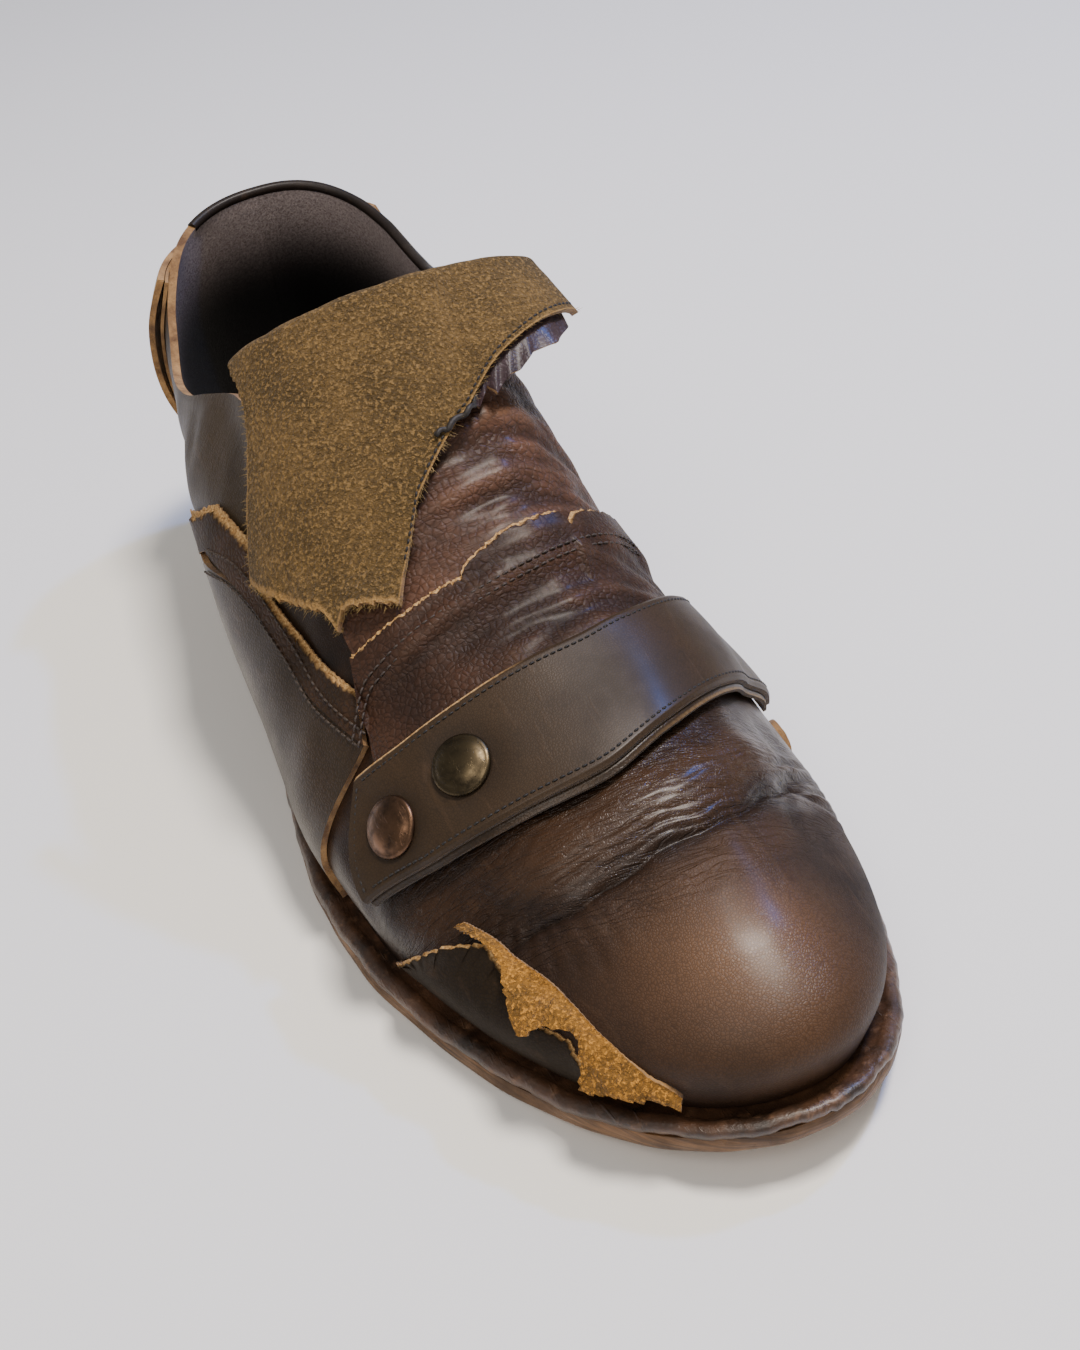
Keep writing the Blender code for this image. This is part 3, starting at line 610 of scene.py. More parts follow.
def welt():
    """Ring with a rounded crown, a groove beside the upper, and a torn dip at its split."""
    crown = ((0.0012, 0.0), (0.0003, 0.0003), (-0.0001, 0.0011), (0.0, 0.0020), (0.0006, 0.0029),
             (0.0016, 0.0034), (0.0028, 0.0035), (0.0038, 0.0031), (0.0044, 0.0026))
    inner = ((1.0, 0.0010, 0.0026), (1.0, RAND, 0.0026), (1.0, RAND, 0.0))
    steps = 420
    half = [(-1, i / (steps / 2)) for i in range(steps // 2 + 1)]
    ring = half + [(1, p) for _, p in half[-2:0:-1]]
    points = []
    faces = []
    for side, p in ring:
        station = float(curve(EDGE_STATIONS, 1, p))
        share = float(curve(MARGINS, LATERAL if side < 0 else MEDIAL, station))
        torn = 0.0
        if side > 0 and WELT_SPLIT[0] < p < WELT_SPLIT[1]:
            torn = math.sin(math.pi * (p - WELT_SPLIT[0]) / (WELT_SPLIT[1] - WELT_SPLIT[0]))
        wave = 0.00022 * math.sin(p * 61.0 + side) + 0.00018 * math.sin(p * 141.0 + 2.0 * side)
        wave += 0.00010 * math.sin(p * 397.0)
        for deeper, rise in crown:
            lower = torn * SPLIT_DEPTH * math.exp(-((deeper - 0.0022) / 0.0006) ** 2)
            points.append(rim(p, side, 0.0, OUTSOLE + rise - lower + wave * 0.5,
                              deeper * (0.35 + 0.65 * share) + wave))
        for inset, deeper, rise in inner:
            points.append(rim(p, side, inset, OUTSOLE + rise, deeper))
    count = len(crown) + len(inner)
    for i in range(len(ring)):
        onward = (i + 1) % len(ring)
        for j in range(count):
            after = (j + 1) % count
            faces.append((i * count + j, i * count + after, onward * count + after, onward * count + j))
    return add_object("welt_rib", points, faces, [welt_leather()], weld=1e-6, sharp=60.0)


put_on(welt(), "welt_leather", "welt")

# Insole.
# A board covered with thin dark leather, cemented inside on the welt; it is darker and more
# polished in soft patches.
WALL = 0.0022
INSOLE = 0.0025


def insole_leather():
    made, tree, shader = new_material("insole leather", 0.6)
    spot = place_in(tree)
    stain, scratch = wear_on(tree, spot, 28.0, 260.0)
    colour = blend(tree, stain, paint(74, 60, 48), paint(38, 31, 27))
    rough = spread(tree, stain, 0.0, 1.0, 0.7, 0.45)
    finish_surface(tree, shader, colour, rough, [(scratch, 0.0001)])
    return made


INSOLE_IN = WALL + 0.0014
insole_profile = (
    (1.0, INSOLE_IN + 0.0004, OUTSOLE + WELT + GAP),
    (1.0, INSOLE_IN, OUTSOLE + WELT + GAP + 0.0005),
    (1.0, INSOLE_IN, OUTSOLE + WELT + INSOLE - 0.0003),
    (1.0, INSOLE_IN + 0.0005, OUTSOLE + WELT + GAP + INSOLE),
)
put_on(slab("insole_sock", insole_profile, [insole_leather()], steps=110), "insole_leather", "insole")

# Upper.
# One hollow shell of dark brown waxed calf with its lining, pulled over the last and open at the
# collar. The vamp is creased across behind the toe, and the toe is burnished and polished; its
# burnish colour also paints the toe's highlight.
SWELL = 0.0045
HEEL_PART = 0.16
TOE_PART = 0.74
OPEN_TO = 0.455
OPEN_ROUND = 0.085
# station (share of LENGTH); ridge above the welt (share of INSTEP_HEIGHT), roundness of the section
SECTIONS = (
    (0.00, 1.62, 3.00),
    (0.15, 1.60, 3.00),
    (0.28, 1.40, 2.80),
    (0.38, 1.20, 2.50),
    (0.48, 1.00, 2.30),
    (0.56, 0.80, 2.15),
    (0.64, 0.665, 2.10),
    (0.72, 0.575, 2.10),
    (0.80, 0.525, 2.10),
    (0.90, 0.490, 2.15),
    (1.00, 0.480, 2.20),
)
HEIGHT, ROUNDNESS = 1, 2
# station (share of LENGTH); collar above the welt, lateral and medial (shares of COLLAR_HEIGHT)
TOPLINE = (
    (0.00, 1.00, 1.00),
    (0.06, 0.92, 0.92),
    (0.11, 0.76, 0.88),
    (0.16, 0.67, 0.87),
    (0.22, 0.71, 0.89),
    (0.28, 0.80, 0.95),
    (0.35, 0.93, 1.04),
    (0.40, 1.00, 1.10),
)
# rib g; how far the outer quarter leans out, in SWELLs
QUARTER_LEAN = (
    (0.00, 1.0),
    (0.09, 1.5),
    (0.16, 2.3),
    (0.33, 3.2),
    (0.42, 2.4),
    (0.55, 1.0),
    (1.00, 1.0),
)
# millimetres of leather that one unit of g and of u stand for
G_LENGTH = 300.0
U_GIRTH = 95.0


def last(g, u):
    """Points of the last: ribs g from heel back to toe tip, u from lateral welt to medial welt."""
    g, u = np.broadcast_arrays(np.asarray(g, dtype=float), np.asarray(u, dtype=float))
    u = np.where(g < 0, -u, u)
    g = np.abs(g)
    side = np.where(u < 0, -1.0, 1.0)
    angle = (1 - np.abs(u)) * math.pi / 2
    guess = np.where(
        g < HEEL_PART,
        HEEL_ROUND,
        np.where(
            g <= TOE_PART,
            HEEL_ROUND + (TOE_START - HEEL_ROUND) * (g - HEEL_PART) / (TOE_PART - HEEL_PART),
            TOE_START + TOE_ROUND * (g - TOE_PART) / (1 - TOE_PART),
        ),
    )
    power = curve(SECTIONS, ROUNDNESS, guess / LENGTH)
    radius = np.clip(np.cos(angle), 0.0, 1.0) ** (2 / power)
    ahead = np.clip((g - TOE_PART) / (1 - TOE_PART), 0.0, 1.0)
    toe_across = radius * np.sqrt(1 - ahead * ahead / 2)
    toe_along = ahead * np.sqrt(1 - radius * radius / 2)
    toe_radius = np.minimum(np.hypot(toe_across, toe_along), 1.0)
    size = np.maximum((toe_across ** TOE_SQUARE + toe_along ** TOE_SQUARE) ** (1 / TOE_SQUARE), 1e-9)
    in_toe = g > TOE_PART
    radius_all = np.where(in_toe, toe_radius, radius)
    rise = np.maximum(1 - radius_all ** power, 0.0) ** (1 / power)
    lean = np.where(side < 0, curve(QUARTER_LEAN, 1, g), 1.0)
    swell = SWELL * lean * np.maximum(np.sin(math.pi * np.minimum(rise * 1.6, 1.0)), 0.0) ** 1.6
    heel_across, heel_along = round_end(g / HEEL_PART * math.pi / 2, HEEL_SQUARE)
    heel_x, heel_t = place("heel", heel_across * radius, heel_along * radius, side, 1.0, swell)
    middle_x, middle_t = place("middle", radius, guess, side, 1.0, swell)
    toe_spot = (toe_across * toe_radius / size, toe_along * toe_radius / size)
    toe_x, toe_t = place("toe", *toe_spot, side, 1.0, swell)
    x = np.where(g < HEEL_PART, heel_x, np.where(in_toe, toe_x, middle_x))
    t = np.where(g < HEEL_PART, heel_t, np.where(in_toe, toe_t, middle_t))
    z = feather_z(t) + curve(SECTIONS, HEIGHT, t / LENGTH) * INSTEP_HEIGHT * rise
    return np.stack([x, LENGTH / 2 - t, z], axis=-1)


def rib_at(station):
    """Rib number g of a station on the ridge, ahead of the heel's round."""
    return HEEL_PART + (station * LENGTH - HEEL_ROUND) / (TOE_START - HEEL_ROUND) * (TOE_PART - HEEL_PART)


def outward(g, u):
    """Outward directions of the last."""
    step_g = 0.003
    step_u = 0.012
    g = np.minimum(g, 1 - 2 * step_g)
    u = np.clip(u, -1 + step_u, 1 - step_u)
    along = last(g + step_g, u) - last(g - step_g, u)
    around = last(g, u + step_u) - last(g, u - step_u)
    way = np.cross(along, around)
    return way / np.linalg.norm(way, axis=-1, keepdims=True)


def skin(g, u, lift):
    """Points over the last, lifted off the upper's outer face."""
    g, u = np.broadcast_arrays(np.asarray(g, dtype=float), np.asarray(u, dtype=float))
    return last(g, u) + outward(g, u) * np.asarray(lift)[..., None]


def topline_u(g, side):
    """Side share of the collar's edge on the ribs behind OPEN_TO."""
    t = LENGTH / 2 - last(g, side * 0.75 * np.ones_like(g))[..., 1]
    both = [curve(TOPLINE, column, t / LENGTH) * COLLAR_HEIGHT for column in (LATERAL, MEDIAL)]
    own = both[0] if side < 0 else both[1]
    middle = (both[0] + both[1]) / 2
    height = middle + (own - middle) * np.minimum(g / HEEL_PART, 1.0)
    crest = curve(SECTIONS, HEIGHT, t / LENGTH) * INSTEP_HEIGHT
    power = curve(SECTIONS, ROUNDNESS, np.maximum(t, HEEL_ROUND) / LENGTH)
    edge = 1 - np.arcsin(np.minimum(height / crest, 1.0) ** (power / 2)) / (math.pi / 2)
    closing = (rib_at(OPEN_TO) - g) / (rib_at(OPEN_TO) - rib_at(OPEN_TO - OPEN_ROUND))
    near_front = np.sqrt(np.maximum(1 - (1 - np.clip(closing, 0.0, 1.0)) ** 2, 0.0))
    return side * edge * np.where(closing < 1, near_front, 1.0)


# Creases of the vamp: from g, u to g, u; bow, depth and width in millimetres. A depth below
# zero is a swelling.
VAMP_CREASES = (
    (0.866, -0.43, 0.922, -0.50, 1.6, 0.38, 0.7),
    (0.862, -0.47, 0.912, -0.55, 1.4, 0.46, 0.7),
    (0.857, -0.50, 0.899, -0.60, 1.2, 0.40, 0.8),
    (0.852, -0.51, 0.885, -0.65, 0.9, 0.34, 0.7),
    (0.847, -0.51, 0.870, -0.70, 0.7, 0.26, 0.8),
    (0.841, -0.52, 0.855, -0.73, 0.6, 0.20, 0.8),
    (0.876, -0.38, 0.925, -0.42, 1.0, 0.40, 0.9),
    (0.880, -0.33, 0.915, -0.33, 1.0, 0.30, 0.9),
    (0.850, 0.42, 0.830, 0.76, -1.0, 1.10, 1.4),
    (0.852, 0.46, 0.852, 0.80, 0.8, 1.00, 1.3),
    (0.845, 0.44, 0.841, 0.78, 0.5, 0.75, 1.1),
    (0.856, 0.48, 0.876, 0.80, 1.0, 0.65, 1.2),
    (0.838, 0.44, 0.820, 0.74, 0.0, 0.60, 1.1),
    (0.900, -0.20, 0.878, 0.44, 0.0, -0.60, 8.0),
    (0.700, -0.72, 0.790, -0.86, 0.0, 0.50, 3.0),
    (0.550, 0.72, 0.640, 0.78, 0.0, 0.70, 5.0),
    (0.300, -0.84, 0.420, -0.80, 0.0, 0.80, 5.0),
    (0.250, -0.93, 0.330, -0.78, 2.0, 0.70, 4.0),
    (0.330, -0.90, 0.400, -0.84, 1.0, 0.50, 3.0),
)


def creases(table, g, u):
    """Height in metres from a table of creases, with a small roll on both sides of each."""
    x = g * G_LENGTH
    y = u * U_GIRTH
    height = np.zeros_like(x)
    for g0, u0, g1, u1, bow, depth, width in table:
        run = np.array(((g1 - g0) * G_LENGTH, (u1 - u0) * U_GIRTH))
        size = float(np.hypot(*run))
        run /= size
        from_start = ((x - g0 * G_LENGTH) * run[0] + (y - u0 * U_GIRTH) * run[1]) / size
        aside = (y - u0 * U_GIRTH) * run[0] - (x - g0 * G_LENGTH) * run[1]
        wander = 0.35 * width * np.sin(from_start * size / 5.0 + depth * 9.0)
        aside = aside - bow * 4 * from_start * (1 - from_start) - wander * (0.6 if depth > 0 else 0.0)
        window = ease(-0.05, 0.22, from_start) * (1 - ease(0.78, 1.05, from_start))
        trough = np.exp(-(aside / width) ** 2)
        roll = np.exp(-((np.abs(aside) - 1.9 * width) / width) ** 2) * 0.35
        if depth < 0:
            roll = 0.0
        height += (roll - trough) * window * depth * 0.001
    return height


def ripple(g, u, size, turn):
    """Smooth random-looking waves from -1 to 1, of a size in millimetres."""
    x = g * G_LENGTH
    y = u * U_GIRTH
    first = np.sin(x / size + 1.7 * np.sin(y / size * 0.8 + turn))
    return first * np.cos(y / size * 1.1 + 1.3 * np.sin(x / size * 0.7 - turn))


# The fold behind the toe: g on the lateral side and on the medial side of the ridge, and how
# far its creases lie apart there, in millimetres
FOLD_LATERAL = (-0.56, 0.8765, 2.7)
FOLD_MEDIAL = (0.60, 0.8520, 1.4)


def vamp_fold(g, u):
    """The main fold with its fan of lesser creases behind it, which close up on the inner side."""
    across = (u - FOLD_LATERAL[0]) / (FOLD_MEDIAL[0] - FOLD_LATERAL[0])
    line = FOLD_LATERAL[1] + (FOLD_MEDIAL[1] - FOLD_LATERAL[1]) * across
    line = line + 0.003 * np.sin(math.pi * across)
    behind = (line - g) * G_LENGTH + 0.5 * np.sin(u * 13.0) + 0.3 * np.sin(u * 31.0 + 1.0)
    apart = FOLD_LATERAL[2] + (FOLD_MEDIAL[2] - FOLD_LATERAL[2]) * np.clip(across, 0.0, 1.0)
    sides = ease(-0.72, -0.45, u) * (1 - ease(0.50, 0.74, u))
    phase = behind / apart + 0.30 * np.sin(u * 9.0 + behind * 0.25) + 0.12 * np.sin(u * 37.0)
    fan = (np.abs(np.sin(math.pi * phase)) ** 0.7 - 0.8) * ease(-0.5, 1.0, behind)
    fan = fan * (1 - ease(6.0, 15.0, behind))
    uneven = 0.65 + 0.35 * np.sin(u * 7.0 + behind * 0.6)
    trough = np.exp(-(np.abs(behind) / 1.35) ** 1.3)
    front_roll = 0.10 * np.exp(-((behind + 3.6) / 2.4) ** 2)
    bulge = np.exp(-((behind - 9.5) / 5.2) ** 2) * ease(-0.60, -0.25, u) * (1 - ease(0.30, 0.62, u))
    return sides * (0.42 * fan * uneven - 1.5 * trough + front_roll + 2.1 * bulge) * 0.001


# soft spots on the toe: g and u of the middle, and how far each reaches in g and in u
TOE_DOME = (0.957, 0.0, 0.048, 0.55)
# the burnish spot is partly the toe's rubbed burnish and partly a painted highlight where the key lamp
# shines on the toe
TOE_BURNISH_AND_HIGHLIGHT = (0.945, -0.04, 0.042, 0.30)
TOE_POLISH = (0.952, 0.0, 0.030, 0.24)
WINDOW_SHINE = (0.908, 0.21, 0.034, 0.10)
DOME_HEIGHT = 0.0022


def soft_spot(g, u, middle_g, middle_u, reach_g, reach_u):
    """1 in the middle of a spot, falling to 0 round it."""
    return np.exp(-(((g - middle_g) / reach_g) ** 2 + ((u - middle_u) / reach_u) ** 2))


def vamp_relief(g, u):
    """Height of the upper's leather: creases, folds, the toe's dome and fine waves."""
    x = g * G_LENGTH
    y = u * U_GIRTH
    height = creases(VAMP_CREASES, g, u) + vamp_fold(g, u)
    dome = soft_spot(g, u, *TOE_DOME) * (1 - ease(0.975, 1.0, g))
    height = height + DOME_HEIGHT * dome
    soft = 0.00018 * ripple(g, u, 6.0, 0.7) + 0.00035 * ripple(g, u, 14.0, 2.1)
    calm = 1 - 0.85 * ease(0.88, 0.93, g)
    zone = ease(0.80, 0.82, g) * (1 - ease(0.868, 0.89, g))
    fine = 0.00007 * np.sin(x / 0.55 + 2.2 * np.sin(y / 6.0) + 1.3 * np.sin(y / 2.7)) * zone
    return height + soft * calm + fine * (0.4 + 0.6 * np.abs(np.sin(y / 9.0 + x / 21.0)))


def build_grain():
    """Leather grain: pebbles of a set size with fine pores between them, and a mask of the valleys between
    the pebbles for painted shade.
    """
    group, start, end = new_group(
        "leather grain",
        [("Vector", "Vector", None), ("Pebble Scale", "Float", 900.0)],
        [("Height", "Float"), ("Shaded Valley", "Float")],
    )
    spot = start.outputs["Vector"]
    bent = lay(group, "TexNoise", Vector=spot, Scale=240.0, Detail=2.0)
    push = lay(group, "VectorMath", {"operation": "SCALE"}, i0=bent.outputs["Color"], Scale=0.0016)
    moved = lay(group, "VectorMath", {"operation": "ADD"}, i0=spot, i1=push.outputs[0])
    cells = lay(group, "TexVoronoi", {"feature": "DISTANCE_TO_EDGE"}, Vector=moved.outputs[0],
                Scale=start.outputs["Pebble Scale"])
    pebble = spread(group, cells.outputs["Distance"], 0.0, 0.28)
    fine = times(group, noise(group, spot, 3200.0), 0.12)
    group.links.new(sums(group, "ADD", times(group, pebble, 0.8), fine), end.inputs["Height"])
    group.links.new(spread(group, pebble, 0.55, 0.0), end.inputs["Shaded Valley"])
    return group


def build_wrinkles():
    """Fine dry wrinkles that run across the foot, on the chart of the leather, with a mask of their troughs
    that paints shade in them.
    """
    group, start, end = new_group(
        "fine wrinkles",
        [("Vector", "Vector", None)],
        [("Height", "Float"), ("Line", "Float")],
    )
    spot = start.outputs["Vector"]
    turned = lay(group, "VectorRotate", {"rotation_type": "Z_AXIS"}, Vector=spot, Angle=0.12)
    long_way = stretched(group, turned.outputs[0], (620.0, 95.0, 1.0))
    strands = noise(group, long_way, 1.0, 2.0, 0.5, 0.8)
    line = lay(group, "Math", {"operation": "ABSOLUTE"}, i0=sums(group, "SUBTRACT", strands, 0.5))
    ridge = spread(group, line.outputs[0], 0.0, 0.075)
    group.links.new(ridge, end.inputs["Height"])
    group.links.new(spread(group, ridge, 0.5, 0.0), end.inputs["Line"])
    return group


GRAIN = build_grain()
WRINKLES = build_wrinkles()


def mask(tree, name, output="Fac"):
    """A value that the mesh carries at its points."""
    made = tree.nodes.new("ShaderNodeAttribute")
    made.attribute_name = name
    return made.outputs[output]


def calf(name, light, dark, warm, pebble_scale, pebble_depth, wrinkle_depth, gloss, coat):
    """Smooth waxed leather: mottled brown, with painted shade in its creases, wrinkle troughs and
    grain valleys, polished and warmer on what stands out, and a burnish that also paints the toe's
    highlight. The depths are in millimetres."""
    light, dark, warm = (paint(*colour) for colour in (light, dark, warm))
    made, tree, shader = new_material(name, gloss, coat=coat, coat_roughness=0.26,
                                      specular=0.12 + 0.5 * coat)
    spot = place_in(tree)
    stain, scratch = wear_on(tree, spot, 48.0, 260.0)
    grain = use_group(tree, GRAIN, Vector=spot, Pebble_Scale=pebble_scale)
    wrinkles = use_group(tree, WRINKLES, Vector=mask(tree, "chart", "Vector"))
    labels = ("burnish_and_painted_light", "crease_shade_and_rub", "olive", "folded", "raw", "matte")
    burnish_and_painted_light, crease_shade_and_rub, olive, folded, raw, matte = (mask(tree, label) for label in labels)
    colour = blend(tree, stain, light, dark)
    colour = blend(tree, olive, colour, paint(60, 47, 30))
    # warmer colour on the burnish mask: partly rubbed burnish, partly a painted highlight on the toe
    colour = blend(tree, times(tree, burnish_and_painted_light, 0.85), colour, warm)
    # painted shade in the grain's valleys between the pebbles
    colour = blend(tree, times(tree, grain.outputs["Shaded Valley"], 0.4), colour, dim(dark, 0.45))
    # painted shade along the troughs of the fine wrinkles, where the leather is folded
    shaded_troughs = times(tree, wrinkles.outputs["Line"], folded)
    colour = blend(tree, times(tree, shaded_troughs, 0.4), colour, dim(dark, 0.5))
    # painted shade in the crease troughs; the ridges turn warmer where they are rubbed
    colour = blend(tree, spread(tree, crease_shade_and_rub, 0.0, -1.0, 0.0, 0.6), colour, dim(dark, 0.4))
    colour = blend(tree, spread(tree, crease_shade_and_rub, 0.1, 1.0, 0.0, 0.25), colour, warm)
    scratched = times(tree, scratch, 0.10)
    colour = blend(tree, scratched, colour, paint(120, 92, 68))
    fibres = noise(tree, spot, 1500.0, 3.0, 0.7)
    torn = spread(tree, fibres, 0.35, 0.65)
    colour = blend(tree, raw, colour, blend(tree, torn, paint(206, 170, 118), paint(140, 102, 60)))
    rough = spread(tree, stain, 0.0, 1.0, gloss - 0.06, gloss + 0.10)
    rough = sums(tree, "ADD", rough, times(tree, shaded_troughs, 0.12))
    rough = sums(tree, "ADD", rough, times(tree, raw, 0.5))
    rough = sums(tree, "ADD", rough, times(tree, matte, 0.22))
    rough = sums(tree, "ADD", rough, times(tree, olive, 0.10))
    dulled = sums(tree, "MAXIMUM", matte, times(tree, olive, 0.8))
    coated = times(tree, spread(tree, raw, 0.0, 0.5, 1.0, 0.0), coat)
    coated = times(tree, coated, spread(tree, dulled, 0.0, 1.0, 1.0, 0.0))
    tree.links.new(coated, shader.inputs["Coat Weight"])
    folds = times(tree, wrinkles.outputs["Height"], folded)
    finish_surface(tree, shader, colour, rough, [
        (folds, wrinkle_depth * 0.001),
        (grain.outputs["Height"], pebble_depth * 0.001),
        (scratch, 0.00003),
    ])
    return made


def raw_edge(name, light, dark):
    """Cut or torn edge of vegetable-tanned leather: pale fibres with dirt."""
    made, tree, shader = new_material(name, 0.9, sheen=0.15)
    spot = place_in(tree)
    stain, scratch = wear_on(tree, spot, 180.0, 900.0)
    fibres = noise(tree, spot, 1700.0, 4.0, 0.7)
    colour = blend(tree, stain, light, dark)
    colour = blend(tree, spread(tree, fibres, 0.5, 0.75, 0.0, 0.5), colour, dark)
    finish_surface(tree, shader, colour, None, [(fibres, 0.0004)])
    return made


def felt_lining():
    """Grey felt near the collar, painted brighter there against the low light, and near-black deeper in the
    shoe: dark lining leather with painted shade.
    """
    made, tree, shader = new_material("lining", 0.95, sheen=0.04, specular=0.1)
    spot = place_in(tree)
    hairs = noise(tree, spot, 1500.0, 5.0, 0.75)
    felt_light_near_rim = mask(tree, "rim")
    painted_deep_shade = paint(8, 7, 7)
    grey = blend(tree, spread(tree, hairs, 0.35, 0.7), paint(138, 122, 120), paint(225, 208, 204))
    colour = blend(tree, felt_light_near_rim, painted_deep_shade, grey)
    finish_surface(tree, shader, colour, None, [(hairs, 0.0005)])
    return made


VAMP_CALF = calf("vamp calf", (54, 36, 23), (31, 20, 13), (116, 84, 58), 1500.0, 0.06, 0.14, 0.36, 0.2)
RAW_EDGE = raw_edge("raw edge", paint(172, 132, 84), paint(96, 66, 38))
LINING = felt_lining()
PIPING = calf("collar bead", (46, 37, 31), (28, 22, 19), (90, 74, 60), 1500.0, 0.03, 0.04, 0.45, 0.1)


def vamp_masks(g, u, height):
    """Masks of the upper's leather, for its colours and fine folds."""
    polished = np.maximum(soft_spot(g, u, *TOE_POLISH), soft_spot(g, u, *WINDOW_SHINE))
    return {
        "matte": ease(0.868, 0.880, g) * (1 - polished),
        # burnish: the toe's rubbed burnish, which also paints the toe's highlight
        "burnish_and_painted_light": soft_spot(g, u, *TOE_BURNISH_AND_HIGHLIGHT),
        # crease: below zero in the troughs, which get painted shade; above zero on rubbed ridges
        "crease_shade_and_rub": np.clip(height / 0.0017, -1.0, 0.6) * ease(0.77, 0.80, g) * (1 - ease(0.89, 0.91, g)),
        "olive": 1 - ease(0.42, 0.62, g),
        "folded": ease(0.74, 0.80, g) * (1 - ease(0.885, 0.92, g)) + 0.25 * (1 - ease(0.5, 0.74, g)),
        "chart": np.stack([g * G_LENGTH, u * U_GIRTH, np.zeros_like(g)], axis=-1) * 0.001,
    }


def upper():
    """The shell: outer and inner face on one grid of ribs, joined at the collar and below."""
    front = rib_at(OPEN_TO)
    ribs = np.concatenate([
        np.linspace(0.0, HEEL_PART, 26)[:-1],
        np.linspace(HEEL_PART, front, 52)[:-1],
        np.linspace(front, 0.79, 46)[:-1],
        np.linspace(0.79, 0.89, 118)[:-1],
        np.linspace(0.89, 1.0, 46),
    ])
    across = 64
    rows = len(ribs)
    columns = across + 1
    g = np.repeat(ribs[:, None], columns, axis=1)
    points = []
    masks = {}
    for face in (0, 1):
        for side in (-1, 1):
            edge = np.where(ribs < front - 1e-6, topline_u(ribs, side), 0.0)
            share = np.linspace(0.0, 1.0, columns)[None, :]
            u = side + (edge[:, None] - side) * share
            at_collar = (edge != 0.0)[:, None]
            height = vamp_relief(g, u) * ease(0.0, 0.12, share) * (1 - ease(0.9, 1.0, share) * at_collar)
            spot = skin(g, u, height - WALL * face)
            # the wall's foot stands on the welt, and nothing hangs below it
            low = feather_z(LENGTH / 2 - spot[..., 1]) - 0.0008
            spot[..., 2] = np.where(share == 0.0, low, np.maximum(spot[..., 2], low))
            points.append(spot.reshape(-1, 3))
            made = vamp_masks(g, u, height)
            # rim: 1 near the collar's edge, where the lining is painted as lit grey felt, falling to 0
            # deeper in, where it is painted near-black shade
            rim_distance = (1 - share) * np.abs(side - edge[:, None]) * U_GIRTH
            made["rim"] = np.exp(-(rim_distance / 8.5) ** 3) * at_collar
            for label, values in made.items():
                flat = values.reshape(-1, 3) if values.ndim == 3 else values.ravel()
                masks.setdefault(label, []).append(flat)
    masks = {label: np.concatenate(values) for label, values in masks.items()}
    faces = []
    slots = []

    def number(face, side, i, k):
        return ((face * 2 + side) * rows + i) * columns + k

    def add(slot, *corners):
        faces.append([number(*corner) for corner in corners])
        slots.append(slot)

    def join(slot, side, first, second):
        """A face between the outer and inner layer, from one rib and column to another."""
        add(slot, (0, side, *first), (0, side, *second), (1, side, *second), (1, side, *first))

    for side in (0, 1):
        for i in range(rows - 1):
            for face in (0, 1):
                for k in range(across):
                    add(2 * face, (face, side, i, k), (face, side, i, k + 1), (face, side, i + 1, k + 1),
                        (face, side, i + 1, k))
            join(0, side, (i, 0), (i + 1, 0))
            if ribs[i] < front - 1e-6:
                join(1 if side == 0 and ribs[i] > 0.07 else 3, side, (i, across), (i + 1, across))
        for k in range(across):
            join(0, side, (rows - 1, k), (rows - 1, k + 1))
    return add_object("upper_shell", np.concatenate(points), faces, [VAMP_CALF, RAW_EDGE, LINING, PIPING],
                      slots, masks, weld=1e-5, sharp=65.0)


def circle(centre, across, rise, radius, sides):
    """Points round a centre, in the plane of two directions."""
    turns = [2 * math.pi * s / sides for s in range(sides)]
    return [centre + (across * math.cos(turn) + rise * math.sin(turn)) * radius for turn in turns]


def tube(name, path, radius, material, sides=8):
    """A round cord through points of the chart, closed at its ends."""
    path = np.asarray(path, dtype=float)
    ahead = np.gradient(path, axis=0)
    ahead /= np.linalg.norm(ahead, axis=1, keepdims=True)
    across = np.cross(ahead, (0.0, 0.0, 1.0))
    across[np.linalg.norm(across, axis=1) < 1e-6] = (1.0, 0.0, 0.0)
    across /= np.linalg.norm(across, axis=1, keepdims=True)
    rise = np.cross(across, ahead)
    thick = np.broadcast_to(radius, (len(path),))
    points = []
    for ring in zip(path, across, rise, thick):
        points += circle(*ring, sides)
    return add_object(name, points, sleeve(len(path), sides), [material], sharp=80.0)


def collar_piping():
    """A thin bead of dark leather on the collar's edge, round the heel to the inner side."""
    lateral = np.linspace(0.075, 0.0, 24)
    medial = np.linspace(0.0, rib_at(OPEN_TO) - 0.004, 110)[1:]
    g = np.concatenate([lateral, medial])
    u = np.concatenate([topline_u(lateral, -1), topline_u(medial, 1)])
    u = np.where(u < 0, u - 0.002, u + 0.002)
    return tube("collar_bead", skin(g, u, -WALL / 2), 0.0015, PIPING, sides=10)


put_on(upper(), "upper_leather", "upper")
put_on(collar_piping(), "upper_leather")

